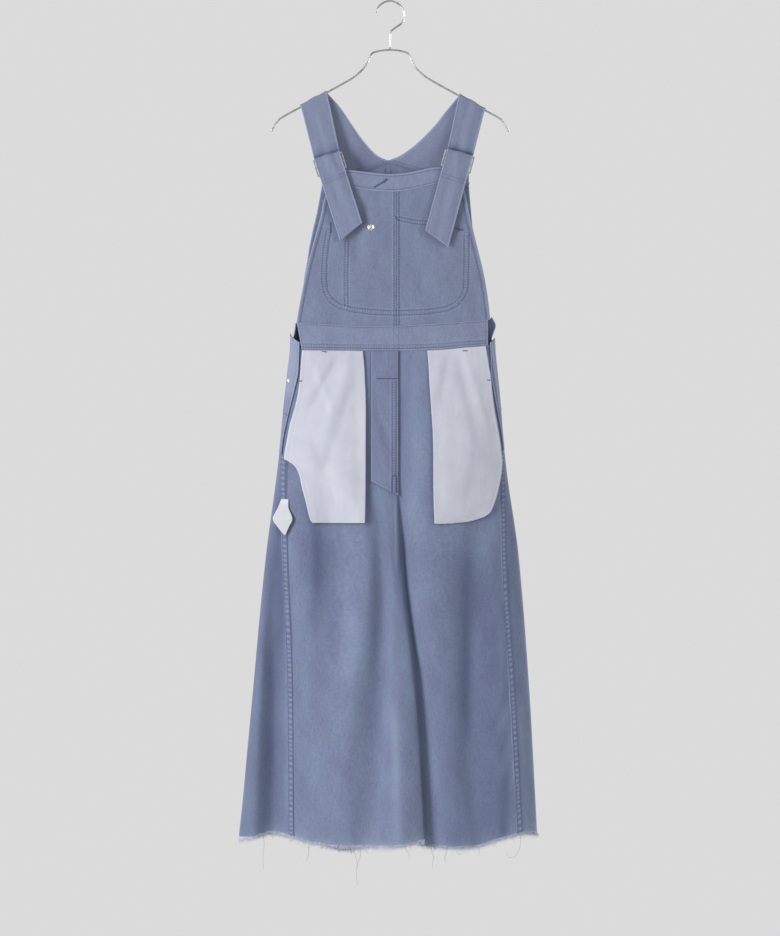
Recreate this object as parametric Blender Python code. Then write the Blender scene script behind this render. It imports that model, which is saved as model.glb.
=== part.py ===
"""An overall maxi skirt of garment-dyed twill, hanging on a bent-wire hanger.

Sizes are in millimetres and turned to metres where a mesh is made. X is the wearer's left to right as
seen from the front, -Y is the front, +Z is up, and the origin is the inner top of the hanger's hook.
"""

import math
from typing import NamedTuple

import bmesh
import bpy
import numpy as np
from mathutils import Matrix, Vector
from mathutils.bvhtree import BVHTree

MM = 0.001

# Cloth and wire
SEAM_GAP = 0.3
LAY_CLEARANCE = 0.3
TWILL = 1.6
DOUBLED_TWILL = 2.2
STRAP_CLOTH = 2.0
POCKETING = 2.0
LABEL_CLOTH = 1.0
WIRE_RADIUS = 1.6

# Hanger
HOOK_RADIUS = 24.0
HOOK_CENTRE_Z = -(HOOK_RADIUS - WIRE_RADIUS)
HOOK_TIP_ANGLE = 169.0
HOOK_LEAVE_ANGLE = -37.0
HOOK_NECK_TOP_Z = -50.0
HANGER_ARCH_TOP_Z = -81.6
HANGER_SLOPE = 29.0

# Levels of the garment
WAIST_TOP_Z = -545.5
BACK_WAIST_TOP_Z = -546.4
FRONT_WAIST_Y = -22.0
BACK_WAIST_Y = 22.0
BIB_TOP_Y = -14.0
YOKE_Y = 9.0

# Straps and slide buckles
STRAP_WIDTH = 45.0
BUCKLE_BAR = 2.4
BUCKLE_WIDTH = 52.0
BUCKLE_BARS_AT = (0.0, 14.0, 27.0)
BAR_TURN = 2.8
TAB_WIDTH = 38.0
TAB_LENGTH = 22.0
TAB_TURN = 2.5


class Height(NamedTuple):
    """A point of a line drawn on the front: how far out it is, and its height."""

    out: float
    height: float


class FoldLine(NamedTuple):
    """One fold line of the skirt, from the waist to the hem: its place in plan at five levels."""

    name: str
    x_waist: float
    x_hip: float
    x_thigh: float
    x_knee: float
    x_hem: float
    y_waist: float
    y_hip: float
    y_thigh: float
    y_knee: float
    y_hem: float
    z_top: float
    z_hem: float


class Section(NamedTuple):
    """A level cut across a piece: where its left and right edges are."""

    height: float
    left: float
    right: float


class BandStation(NamedTuple):
    """An upright cut across the bib's band: its top and bottom edges."""

    across: float
    top: float
    bottom: float


class YokeRow(NamedTuple):
    """A row across the back of a strap, from the armhole edge to the neck edge."""

    outer_x: float
    outer_z: float
    inner_x: float
    inner_z: float


class Strap(NamedTuple):
    """A shoulder strap with its slide buckle; toward_middle is +1 on the left and -1 on the right."""

    name: str
    toward_middle: float
    wire_outer_x: float
    wire_inner_x: float
    fold_x: float
    fold_z: float
    tilt: float
    tail_outer: float
    tail_inner: float
    yoke: tuple


class Finish(NamedTuple):
    """A plain surface."""

    name: str
    colour: str
    roughness: float
    metallic: float


HANGER_HALF = (
    Height(0.0, -81.6),
    Height(18.0, -83.3),
    Height(31.5, -88.4),
    Height(38.0, -102.0),
    Height(45.0, -113.0),
    Height(55.0, -122.5),
    Height(68.0, -132.0),
    Height(102.0, -151.0),
    Height(156.0, -181.0),
    Height(184.0, -196.5),
    Height(192.0, -204.0),
    Height(202.0, -220.0),
)

# Shares of the way from the waist to the hem at which the fold lines are given
LEVELS = np.array([0.0, 0.248, 0.428, 0.713, 1.0])

# name, x at waist, hip, thigh, knee, hem, y at waist, hip, thigh, knee, hem, z at the top, z at the hem
FOLD_LINES = (
    FoldLine("edge_left", -167, -190.4, -210, -232.9, -256, 0, 0, 0, 0, 0, -588, -1421),
    FoldLine("outer_left", -164.2, -189.3, -206.5, -222, -232, -8, -4.5, -14, -26, -31, -589, -1418),
    FoldLine("groove_left", -158.5, -187, -195, -197, -202, -14, -8.5, -18, -15, -17, -590, -1411),
    FoldLine("seam_left", -149.6, -183, -178.5, -168.3, -166.5, -19, -13, -18, -25, -30, -591, -1416),
    FoldLine("dip_left", -118, -140, -134, -140, -137, -21, -28.5, -29, -31, -35, -591.5, -1425),
    FoldLine("lean_left", -90, -101, -96, -104, -104, -21.7, -33, -17, -39, -43, -591.8, -1429),
    FoldLine("bulge_left", -62, -64, -38, -64, -80, -22, -36.5, -43, -50, -45, -592.2, -1431),
    FoldLine("valley_left", -36, -34, -12, -16, -40, -22, -36.8, -36, -37, -41, -592.7, -1431),
    FoldLine("ridge", -12, -10, 5, 14, 18, -22, -37.5, -39, -52, -58, -593, -1429),
    FoldLine("fold_edge", 10.5, 10.5, 16, 42.5, 57, -22, -37, -35, -45, -46, -593.3, -1421),
    FoldLine("fold_back", 12.6, 12.4, 17, 39.5, 51, -22, -36.4, -30.5, -40, -41, -593.3, -1424),
    FoldLine("tuck", 14.8, 14.6, 18.5, 38.5, 49, -22, -36.1, -26.5, -34, -34, -593.3, -1427),
    FoldLine("emerge", 18, 18, 24, 49, 62, -22, -36.2, -26, -31, -31, -593.3, -1431),
    FoldLine("flat_right", 32, 34, 40, 67, 84, -22, -36.8, -38, -37, -35.5, -593, -1433),
    FoldLine("inner_right", 60, 60, 70, 92, 108, -22, -37, -42, -40, -38, -592, -1434),
    FoldLine("brow_right", 95, 112, 116, 112, 128, -21.5, -33.5, -37.5, -37, -36, -590, -1434),
    FoldLine("hollow_right", 125, 146, 147, 136, 146, -21.2, -28, -27, -28, -32.5, -587, -1433),
    FoldLine("dent_right", 148, 172, 176, 176, 174, -19.8, -19, -24, -29, -31.5, -585, -1424),
    FoldLine("seam_right", 166, 191.5, 193, 208, 221, -18, -10, -20, -25, -25, -583.5, -1412),
    FoldLine("wrap_right", 171.5, 194.6, 208, 224, 238, -9, -5, -12, -16, -17, -583, -1411),
    FoldLine("edge_right", 175.5, 196.4, 217.6, 236.3, 249.5, 0, 0, 0, 0, 0, -583, -1413),
    FoldLine("back_right", 150, 166, 182, 198, 208, 18, 26, 28, 33, 36, -584, -1418),
    FoldLine("back_dip_right", 116, 126, 134, 142, 148, 22.5, 31, 27, 25, 24, -585, -1426),
    FoldLine("back_ridge_right", 68, 73, 78, 84, 88, 24, 36, 42, 46, 48, -586, -1431),
    FoldLine("back_middle", 5, 5, 6, 8, 10, 24, 34, 33, 32, 31, -587, -1429),
    FoldLine("back_ridge_left", -62, -66, -70, -74, -76, 24, 36, 43, 48, 52, -588, -1449),
    FoldLine("back_dip_left", -112, -122, -129, -136, -141, 22.5, 31, 27, 26, 26, -588, -1427),
    FoldLine("back_left", -148, -163, -180, -198, -209, 18, 26, 29, 34, 38, -588, -1418),
)

BIB_EDGES = (
    Section(-299.0, -103.7, 123.3),
    Section(-330.0, -109.7, 127.7),
    Section(-374.0, -119.0, 136.0),
    Section(-413.0, -130.0, 145.5),
    Section(-438.6, -137.0, 152.0),
    Section(-472.6, -144.5, 159.8),
    Section(-498.0, -149.6, 164.0),
    Section(-523.6, -154.6, 167.5),
    Section(-545.5, -158.0, 169.5),
)

BIB_BAND = (
    BandStation(-103.7, -299.2, -314.5),
    BandStation(-74.8, -288.4, -315.9),
    BandStation(-51.0, -289.3, -318.8),
    BandStation(-25.0, -292.4, -322.4),
    BandStation(1.7, -294.1, -323.9),
    BandStation(28.0, -292.2, -321.8),
    BandStation(51.0, -287.8, -317.0),
    BandStation(86.7, -283.0, -309.4),
    BandStation(123.3, -297.5, -312.8),
)

WAIST_TOP_LINE = (
    Height(-152.0, -545.7),
    Height(-51.0, -552.2),
    Height(0.0, -552.4),
    Height(85.0, -547.4),
    Height(170.0, -541.0),
)

WAIST_LOW_LINE = (
    Height(-150.0, -591.0),
    Height(-62.0, -592.2),
    Height(14.0, -593.3),
    Height(60.0, -592.0),
    Height(95.0, -590.0),
    Height(125.0, -587.0),
    Height(166.0, -583.5),
)

BIB_POCKET = (
    Section(-352.0, -110.0, 122.0),
    Section(-390.0, -104.0, 129.0),
    Section(-430.0, -110.0, 129.0),
    Section(-480.0, -112.0, 129.0),
    Section(-498.0, -108.0, 127.0),
    Section(-512.0, -100.0, 119.0),
    Section(-521.0, -84.0, 106.0),
    Section(-527.0, -62.0, 82.0),
)

BACK_EDGES = (
    Section(-309.0, -115.6, 134.3),
    Section(-337.0, -120.7, 136.5),
    Section(-371.0, -127.5, 139.5),
    Section(-405.0, -136.0, 143.0),
    Section(-439.0, -141.0, 148.0),
    Section(-473.0, -147.0, 155.0),
    Section(-507.0, -150.0, 162.0),
    Section(-524.0, -153.5, 166.0),
    Section(-546.0, -159.5, 170.5),
)

POCKET_BAG_LEFT = (
    Section(-592.9, -148.6, -46.0),
    Section(-617.0, -150.5, -43.5),
    Section(-643.0, -152.5, -42.0),
    Section(-668.0, -156.0, -41.0),
    Section(-690.0, -161.0, -40.6),
    Section(-719.0, -169.3, -40.6),
    Section(-745.0, -174.3, -40.7),
    Section(-774.5, -179.0, -40.8),
    Section(-780.0, -173.0, -40.8),
    Section(-787.0, -163.0, -40.8),
    Section(-796.0, -156.4, -40.8),
    Section(-808.0, -152.0, -41.0),
    Section(-821.0, -149.6, -41.0),
    Section(-847.0, -142.8, -41.3),
    Section(-876.0, -136.0, -41.8),
    Section(-885.0, -131.0, -42.5),
)

POCKET_BAG_RIGHT = (
    Section(-592.3, 63.0, 162.0),
    Section(-617.0, 65.0, 166.5),
    Section(-643.0, 66.3, 171.0),
    Section(-668.0, 68.0, 173.5),
    Section(-694.0, 69.7, 177.0),
    Section(-719.0, 71.4, 181.5),
    Section(-745.0, 72.6, 186.0),
    Section(-767.0, 73.1, 188.6),
    Section(-783.0, 73.1, 190.2),
    Section(-808.0, 73.1, 187.5),
    Section(-838.0, 73.3, 181.0),
    Section(-860.0, 74.0, 173.4),
    Section(-870.0, 74.3, 166.6),
    Section(-877.0, 74.8, 153.0),
    Section(-882.0, 74.8, 134.0),
    Section(-885.7, 74.8, 102.0),
)

SHIELD_LEFT_X = -31.5
SHIELD_RIGHT_X = 14.4
SHIELD_TOP_Z = -594.2
SHIELD_LEFT_BOTTOM_Z = -814.3
SHIELD_RIGHT_BOTTOM_Z = -839.0

YOKE_APEX_X = -3.4
YOKE_LEFT = (
    YokeRow(-115.6, -309.4, -3.7, -268.8),
    YokeRow(-114.8, -285.6, -23.8, -258.4),
    YokeRow(-115.6, -260.1, -45.9, -234.6),
    YokeRow(-122.4, -231.2, -66.3, -205.7),
    YokeRow(-134.3, -200.6, -85.0, -178.5),
)
YOKE_RIGHT = (
    YokeRow(134.3, -311.1, -3.1, -268.8),
    YokeRow(134.3, -285.6, 20.4, -258.4),
    YokeRow(134.3, -261.8, 47.6, -238.0),
    YokeRow(137.7, -236.3, 74.8, -210.8),
    YokeRow(147.9, -210.8, 95.2, -185.3),
)
STRAPS = (
    Strap("left", 1.0, -151.3, -107.1, -106.3, -264.4, 17.5, 143.5, 125.5, YOKE_LEFT),
    Strap("right", -1.0, 161.0, 117.0, 118.5, -259.8, 15.2, 158.0, 141.0, YOKE_RIGHT),
)

BIB_SEAM_X = 11.0
BIB_PANEL_TOP_Z = -318.0
STUD_X = -32.3
STUD_Z = -384.2
STUD_RADIUS = 5.0
BUTTON_RADIUS = 3.6
BUTTON_U = 1.3
BUTTON_V = 0.067

# The care label's rows, and how far each stands off the cloth
LABEL_ROWS = (
    Section(-845.0, -184.0, -172.0),
    Section(-860.0, -190.0, -171.5),
    Section(-878.0, -198.0, -165.0),
    Section(-892.0, -190.0, -171.0),
    Section(-905.0, -179.5, -177.0),
)
LABEL_LIFTS = (0.0, 1.0, 4.0, 4.5, 4.0)
LABEL_TUCK = 0.2
BAG_DROP = 1.8
WAIST_END_SLANT = 8.2
FLAP_RISE = 11.0
PLACKET_TURN = 1.5
PLACKET_REACH = (0.37, -0.5)

# Raw hem
FRAY_PITCH = 9.0
FRAY_TIP_SHARE = 0.25
FRAY_TUFT_SHARE = 0.74
FRAY_STRIP = 1.8
FRAY_LENGTHS = (4.2, 2.6, 5.4, 3.4, 6.2, 2.8, 4.8, 3.8, 2.4, 5.0, 3.2)

SLATE_TWILL = Finish("slate_twill", "#78839E", 0.88, 0.0)
SLATE_TWILL_PALE = Finish("slate_twill_pale", "#808AA6", 0.88, 0.0)
WHITE_POCKETING = Finish("white_pocketing", "#C8CAD4", 0.85, 0.0)
STEEL_WIRE = Finish("steel_wire", "#B8B8B6", 0.25, 1.0)
NICKEL = Finish("nickel_trim", "#C9C8C4", 0.2, 1.0)
SATIN = Finish("white_satin", "#E4E5EA", 0.5, 0.0)

FOLD_NAMES = [line.name for line in FOLD_LINES]
FOLD_COUNT = len(FOLD_LINES)
FOLD_PLAN = np.array([[line[1:6], line[6:11]] for line in FOLD_LINES], dtype=float).transpose(2, 0, 1)
FOLD_TOP = np.array([line.z_top for line in FOLD_LINES], dtype=float)
FOLD_HEM = np.array([line.z_hem for line in FOLD_LINES], dtype=float)


def fold(name, turn=0):
    """The ring's parameter at a named fold line, with whole turns added to pass the start."""
    return float(FOLD_NAMES.index(name) + turn * FOLD_COUNT)


# ---------------------------------------------------------------------------------------------
# Curves and surfaces
# ---------------------------------------------------------------------------------------------


def monotone_slopes(levels, values):
    """Slopes of a curve through the values that never overshoots them."""
    steps = np.diff(levels)[:, None, None]
    rises = np.diff(values, axis=0) / steps
    slopes = np.zeros_like(values)
    slopes[0] = rises[0]
    slopes[-1] = rises[-1]
    for k in range(1, len(levels) - 1):
        before, after = rises[k - 1], rises[k]
        total = np.where(np.abs(before + after) < 1e-9, 1.0, before + after)
        slopes[k] = np.where(before * after > 0, 2 * before * after / total, 0.0)
    return slopes


FOLD_SLOPES = monotone_slopes(LEVELS, FOLD_PLAN)


def fold_points(v):
    """Where every fold line is at each share v of the way down: (samples, fold lines, xyz)."""
    inside = np.clip(v, 0.0, 1.0)
    k = np.clip(np.searchsorted(LEVELS, inside, side="right") - 1, 0, len(LEVELS) - 2)
    span = (LEVELS[k + 1] - LEVELS[k])[:, None, None]
    t = ((inside - LEVELS[k]) / (LEVELS[k + 1] - LEVELS[k]))[:, None, None]
    plan = (2 * t**3 - 3 * t**2 + 1) * FOLD_PLAN[k]
    plan = plan + (t**3 - 2 * t**2 + t) * span * FOLD_SLOPES[k]
    plan = plan + (3 * t**2 - 2 * t**3) * FOLD_PLAN[k + 1]
    plan = plan + (t**3 - t**2) * span * FOLD_SLOPES[k + 1]
    height = FOLD_TOP + (FOLD_HEM - FOLD_TOP) * v[:, None]
    return np.concatenate([plan, height[:, :, None]], axis=2)


def skirt_points(u, v):
    """The skirt's middle surface: u runs round the fold lines, v from the waist to the hem."""
    u, v = np.broadcast_arrays(np.asarray(u, dtype=float), np.asarray(v, dtype=float))
    shape = u.shape
    u, v = u.ravel(), v.ravel()
    lines = fold_points(v)
    first = np.floor(u).astype(int)
    share = (u - first)[:, None]
    sample = np.arange(len(u))
    a, b, c, d = (lines[sample, (first + k) % FOLD_COUNT] for k in (-1, 0, 1, 2))
    knot_b = np.sqrt(np.linalg.norm(b - a, axis=1))[:, None]
    knot_c = knot_b + np.sqrt(np.linalg.norm(c - b, axis=1))[:, None]
    knot_d = knot_c + np.sqrt(np.linalg.norm(d - c, axis=1))[:, None]
    t = knot_b + share * (knot_c - knot_b)
    ab = (knot_b - t) / knot_b * a + t / knot_b * b
    bc = ((knot_c - t) * b + (t - knot_b) * c) / (knot_c - knot_b)
    cd = ((knot_d - t) * c + (t - knot_c) * d) / (knot_d - knot_c)
    abc = ((knot_c - t) * ab + t * bc) / knot_c
    bcd = ((knot_d - t) * bc + (t - knot_b) * cd) / (knot_d - knot_b)
    point = ((knot_c - t) * abc + (t - knot_b) * bcd) / (knot_c - knot_b)
    return point.reshape(shape + (3,))


def unit(vectors):
    """Vectors of length one."""
    return vectors / np.linalg.norm(vectors, axis=-1, keepdims=True)


def skirt_normals(u, v):
    """Outward directions of the skirt's middle surface."""
    along = skirt_points(u + 0.02, v) - skirt_points(u - 0.02, v)
    down = skirt_points(u, v + 0.004) - skirt_points(u, v - 0.004)
    return unit(np.cross(along, -down))


def grid_normals(points):
    """Directions square to a grid of points; rows run down the piece and columns across it."""
    down, across = np.gradient(points, axis=(0, 1))
    return unit(np.cross(across, -down))


def edge_at(table, height):
    """The left and right edges of a piece at a height, read from its table of sections."""
    rows = sorted(table, key=lambda row: row.height)
    heights = [row.height for row in rows]
    left = np.interp(height, heights, [row.left for row in rows])
    right = np.interp(height, heights, [row.right for row in rows])
    return left, right


def smooth_step(share):
    """An even ease from 0 to 1."""
    share = np.clip(share, 0.0, 1.0)
    return share * share * (3 - 2 * share)


def front_y(x, z):
    """Depth of the bib and the front waistband: flat at the top, a little rounded at the waist."""
    share = smooth_step((-320.0 - z) / 230.0)
    return BIB_TOP_Y + (FRONT_WAIST_Y - BIB_TOP_Y) * share + 3.0 * share * (x / 150.0) ** 2


# ---------------------------------------------------------------------------------------------
# Objects
# ---------------------------------------------------------------------------------------------


def finish_material(finish):
    """The plain material of a finish, made once."""
    found = bpy.data.materials.get(finish.name)
    if found:
        return found
    made = bpy.data.materials.new(finish.name)
    made.use_nodes = True
    channels = [int(finish.colour[k : k + 2], 16) / 255 for k in (1, 3, 5)]
    linear = [c / 12.92 if c <= 0.04045 else ((c + 0.055) / 1.055) ** 2.4 for c in channels]
    shader = made.node_tree.nodes["Principled BSDF"]
    shader.inputs["Base Color"].default_value = (*linear, 1.0)
    shader.inputs["Roughness"].default_value = finish.roughness
    shader.inputs["Metallic"].default_value = finish.metallic
    made.diffuse_color = (*linear, 1.0)
    return made


def add_object(name, data, finish):
    """Put a mesh or a curve in the scene under its node's name."""
    piece = bpy.data.objects.new(name, data)
    bpy.context.scene.collection.objects.link(piece)
    data.materials.append(finish_material(finish))
    return piece


def add_solid(name, work, finish):
    """Close a bmesh into an object, smooth but for its sharp edges."""
    bmesh.ops.recalc_face_normals(work, faces=work.faces)
    mesh = bpy.data.meshes.new(name)
    work.to_mesh(mesh)
    work.free()
    mesh.shade_smooth()
    mesh.set_sharp_from_angle(angle=math.radians(40))
    return add_object(name, mesh, finish)


def wall_mesh(points, normals, thickness):
    """A bmesh wall of even thickness about a grid of middle points, with its rims closed."""
    rows, columns = points.shape[:2]
    work = bmesh.new()
    sides = []
    for side in (0.5, -0.5):
        place = (points + normals * thickness * side) * MM
        sides.append([[work.verts.new(place[i, j]) for j in range(columns)] for i in range(rows)])
    outer, inner = sides
    for i in range(rows - 1):
        for j in range(columns - 1):
            work.faces.new((outer[i][j], outer[i + 1][j], outer[i + 1][j + 1], outer[i][j + 1]))
            work.faces.new((inner[i][j], inner[i][j + 1], inner[i + 1][j + 1], inner[i + 1][j]))
    for j in range(columns - 1):
        for i in (0, rows - 1):
            work.faces.new((outer[i][j], outer[i][j + 1], inner[i][j + 1], inner[i][j]))
    for i in range(rows - 1):
        for j in (0, columns - 1):
            work.faces.new((outer[i][j], outer[i + 1][j], inner[i + 1][j], inner[i][j]))
    return work


def add_wall(name, points, thickness, finish, normals=None):
    """A cloth piece: a wall about a grid of middle points."""
    if normals is None:
        normals = grid_normals(points)
    return add_solid(name, wall_mesh(points, normals, thickness), finish)


def add_wire(name, path, radius, finish):
    """A round wire along a path, with closed ends."""
    curve = bpy.data.curves.new(name, "CURVE")
    curve.dimensions = "3D"
    curve.bevel_depth = radius * MM
    curve.bevel_resolution = 2
    curve.use_fill_caps = True
    spline = curve.splines.new("POLY")
    spline.points.add(len(path) - 1)
    for target, (x, y, z) in zip(spline.points, path):
        target.co = (x * MM, y * MM, z * MM, 1.0)
    return add_object(name, curve, finish)


def smooth_path(points, steps):
    """A smooth path through points given in plan, with a number of steps between neighbours."""
    ends = [2 * points[0] - points[1], *points, 2 * points[-1] - points[-2]]
    path = []
    for a, b, c, d in zip(ends, ends[1:], ends[2:], ends[3:]):
        for k in range(steps):
            t = k / steps
            path.append(0.5 * (2 * b + (c - a) * t + (2 * a - 5 * b + 4 * c - d) * t**2
                               + (3 * b - a - 3 * c + d) * t**3))
    path.append(points[-1])
    return path


# ---------------------------------------------------------------------------------------------
# Hanger
# ---------------------------------------------------------------------------------------------


def wire_height(x):
    """Height of the hanger's wire at a distance from its middle."""
    return float(np.interp(abs(x), [p.out for p in HANGER_HALF], [p.height for p in HANGER_HALF]))


def build_hanger():
    """The bent wire: shoulders with an arch in the middle, and the hook that stands on it."""
    left = [np.array([-p.out, 0.0, p.height]) for p in reversed(HANGER_HALF[1:])]
    right = [np.array([p.out, 0.0, p.height]) for p in HANGER_HALF]
    add_wire("hanger_frame", smooth_path(left + right, 3), WIRE_RADIUS, STEEL_WIRE)

    angles = np.radians(np.linspace(HOOK_TIP_ANGLE, HOOK_LEAVE_ANGLE, 22))
    hook = [np.array([HOOK_RADIUS * math.cos(a), 0.0, HOOK_CENTRE_Z + HOOK_RADIUS * math.sin(a)])
            for a in angles]
    neck_bottom = HANGER_ARCH_TOP_Z + 2 * WIRE_RADIUS / 2 + SEAM_GAP
    bend = [np.array([5.5, 0.0, HOOK_NECK_TOP_Z + 3.5]), np.array([1.2, 0.0, HOOK_NECK_TOP_Z - 1.0]),
            np.array([0.0, 0.0, HOOK_NECK_TOP_Z - 7.0]), np.array([0.0, 0.0, neck_bottom])]
    add_wire("hanger_hook", hook + smooth_path([hook[-1], *bend], 2)[1:], WIRE_RADIUS, STEEL_WIRE)


# ---------------------------------------------------------------------------------------------
# Straps, buckles and tabs
# ---------------------------------------------------------------------------------------------


def buckle_place(strap, across, down, depth):
    """A point in a buckle's own frame: across from the outer side, down the strap, and its depth."""
    tilt = math.radians(strap.tilt)
    m = strap.toward_middle
    x = strap.fold_x + m * math.cos(tilt) * across + m * math.sin(tilt) * down
    z = strap.fold_z + math.sin(tilt) * across - math.cos(tilt) * down
    return np.array([x, BIB_TOP_Y + depth, z])


def strap_rows(strap):
    """Rows of a strap as pairs of its outer and inner edge points, from the yoke to the free end."""
    half = STRAP_WIDTH / 2
    rows = []
    count = len(strap.yoke)
    turn = WIRE_RADIUS + SEAM_GAP + STRAP_CLOTH / 2 + 0.1
    for k, row in enumerate(strap.yoke):
        y = YOKE_Y + (turn - YOKE_Y) * k / count
        rows.append(((row.outer_x, y, row.outer_z), (row.inner_x, y, row.inner_z)))
    slope = math.radians(HANGER_SLOPE)
    up = np.array([-strap.toward_middle * math.sin(slope), 0.0, math.cos(slope)])
    outer = np.array([strap.wire_outer_x, 0.0, wire_height(strap.wire_outer_x)])
    inner = np.array([strap.wire_inner_x, 0.0, wire_height(strap.wire_inner_x)])
    for angle in np.radians([0, 36, 72, 108, 144, 180]):
        away = turn * (math.cos(angle) * np.array([0.0, 1.0, 0.0]) + math.sin(angle) * up)
        rows.append((outer + away, inner + away))
    behind = BAR_TURN + STRAP_CLOTH + SEAM_GAP
    last_outer, last_inner = rows[-1]
    next_outer, next_inner = (buckle_place(strap, a, 0.0, behind) for a in (-half, half))
    for share in (0.35, 0.7, 1.0):
        rows.append((last_outer + (next_outer - last_outer) * share,
                     last_inner + (next_inner - last_inner) * share))
    rows += [tuple(buckle_place(strap, a, down, depth) for a in (-half, half))
             for down, depth in buckle_wraps()]
    front = -(BAR_TURN + STRAP_CLOTH + SEAM_GAP)
    first = BUCKLE_BARS_AT[1]
    for share in (0.0, 0.25, 0.5, 0.75, 1.0):
        depth = front - 4.0 * share
        rows.append((buckle_place(strap, -half, first + (strap.tail_outer - first) * share, depth),
                     buckle_place(strap, half, first + (strap.tail_inner - first) * share, depth)))
    return np.array(rows, dtype=float)


def buckle_wraps():
    """The strap's way round the middle bar and over the top bar, as (down, depth) pairs."""
    top, middle = BUCKLE_BARS_AT[0], BUCKLE_BARS_AT[1]
    crossing = math.asin(2 * BAR_TURN / (middle - top))
    under = np.linspace(0.0, math.pi + crossing, 8)
    over = np.linspace(-crossing, math.pi, 8)
    way = [(middle + BAR_TURN * math.sin(a), BAR_TURN * math.cos(a)) for a in under]
    way += [(top - BAR_TURN * math.sin(a), BAR_TURN * math.cos(a)) for a in over]
    return way


def build_strap(strap):
    """One strap, cut in one with its half of the yoke."""
    pairs = strap_rows(strap)
    outer, inner = pairs[:, 0], pairs[:, 1]
    grid = np.stack([outer + (inner - outer) * share for share in (0.0, 0.5, 1.0)], axis=1)
    add_wall(f"strap_{strap.name}", grid, STRAP_CLOTH, SLATE_TWILL_PALE)


def build_buckle(strap):
    """A slide buckle: a frame with a middle bar, its edges rounded."""
    half = BUCKLE_WIDTH / 2
    across = (-half, -half + BUCKLE_BAR, half - BUCKLE_BAR, half)
    down = [at + side * BUCKLE_BAR / 2 for at in BUCKLE_BARS_AT for side in (-1, 1)]
    work = bmesh.new()
    corner = {}
    for i, s in enumerate(down):
        for j, a in enumerate(across):
            corner[i, j] = work.verts.new(buckle_place(strap, a, s, -BUCKLE_BAR / 2) * MM)
    faces = []
    for i in range(len(down) - 1):
        for j in range(len(across) - 1):
            if i % 2 == 0 or j != 1:
                faces.append(work.faces.new((corner[i, j], corner[i, j + 1],
                                             corner[i + 1, j + 1], corner[i + 1, j])))
    grown = bmesh.ops.extrude_face_region(work, geom=faces)
    verts = [item for item in grown["geom"] if isinstance(item, bmesh.types.BMVert)]
    bmesh.ops.translate(work, verts=verts, vec=(0.0, BUCKLE_BAR * MM, 0.0))
    bmesh.ops.recalc_face_normals(work, faces=work.faces)
    sharp = [edge for edge in work.edges if edge.calc_face_angle(0.0) > math.radians(60)]
    bmesh.ops.bevel(work, geom=sharp, offset=0.6 * MM, segments=1, affect="EDGES", profile=0.5,
                    material=-1)
    add_solid(f"ring_{strap.name}", work, NICKEL)


def build_tab(strap):
    """The cloth tab round a buckle's lower bar, with one leg behind the bib's band and one before it."""
    bar = BUCKLE_BARS_AT[2]
    way = [(bar + TAB_LENGTH, TAB_TURN), (bar + TAB_LENGTH / 2, TAB_TURN)]
    way += [(bar - TAB_TURN * math.sin(a), TAB_TURN * math.cos(a)) for a in np.linspace(0, math.pi, 8)]
    way += [(bar + TAB_LENGTH / 2, -TAB_TURN), (bar + TAB_LENGTH, -TAB_TURN)]
    half = TAB_WIDTH / 2
    grid = np.array([[buckle_place(strap, a, s, depth) for a in (-half, 0.0, half)] for s, depth in way])
    add_wall(f"strap_tab_{strap.name}", grid, TWILL, SLATE_TWILL)


# ---------------------------------------------------------------------------------------------
# Bib, waistband and back
# ---------------------------------------------------------------------------------------------


def band_grid(stations, steps, top_gap=0.0, bottom_gap=0.0):
    """A grid down a band that runs across the front."""
    grid = []
    for share in np.linspace(0.0, 1.0, steps + 1):
        row = []
        for place in stations:
            z = place.top - top_gap + (place.bottom + bottom_gap - place.top + top_gap) * share
            row.append((place.across, front_y(place.across, z), z))
        grid.append(row)
    return np.array(grid)


def resampled(stations, step):
    """Stations of a band at an even step, on smooth lines through the given ones."""
    points = [np.array(place, dtype=float) for place in stations]
    return [BandStation(*point) for point in smooth_path(points, step)]


def waist_top(x):
    """Height of the seam between the bib and the waistband."""
    return np.interp(x, [p.out for p in WAIST_TOP_LINE], [p.height for p in WAIST_TOP_LINE])


def waist_low(x):
    """Height of the seam between the front waistband and the skirt."""
    return np.interp(x, [p.out for p in WAIST_LOW_LINE], [p.height for p in WAIST_LOW_LINE])


def build_bib():
    """The bib: a band along its top over two panels that meet in a middle seam."""
    band = resampled(BIB_BAND, 2)
    add_wall("bib_band", band_grid(band, 2), DOUBLED_TWILL, SLATE_TWILL_PALE)
    across = np.array([place.across for place in band])
    bottom = [place.bottom for place in band]
    middle = BIB_SEAM_X
    sides = (("bib_left", across[0], middle - SEAM_GAP / 2), ("bib_right", middle + SEAM_GAP / 2, across[-1]))
    for name, first, last in sides:
        inside = across[(across > first + 4.0) & (across < last - 4.0)]
        shares = (np.array([first, *inside, last]) - first) / (last - first)
        grid = []
        for t in np.linspace(0.0, 1.0, 10):
            height = BIB_PANEL_TOP_Z + (WAIST_TOP_Z - BIB_PANEL_TOP_Z) * t
            left, right = edge_at(BIB_EDGES, height)
            if t == 0.0:
                left, right = across[0], across[-1]
            start = left if name == "bib_left" else first
            end = last if name == "bib_left" else right
            row = []
            for x in start + (end - start) * shares:
                top = np.interp(x, across, bottom) - SEAM_GAP
                z = top + (waist_top(x) + SEAM_GAP - top) * t
                row.append((x, front_y(x, z), z))
            grid.append(row)
        add_wall(name, np.array(grid), TWILL, SLATE_TWILL)


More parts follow.
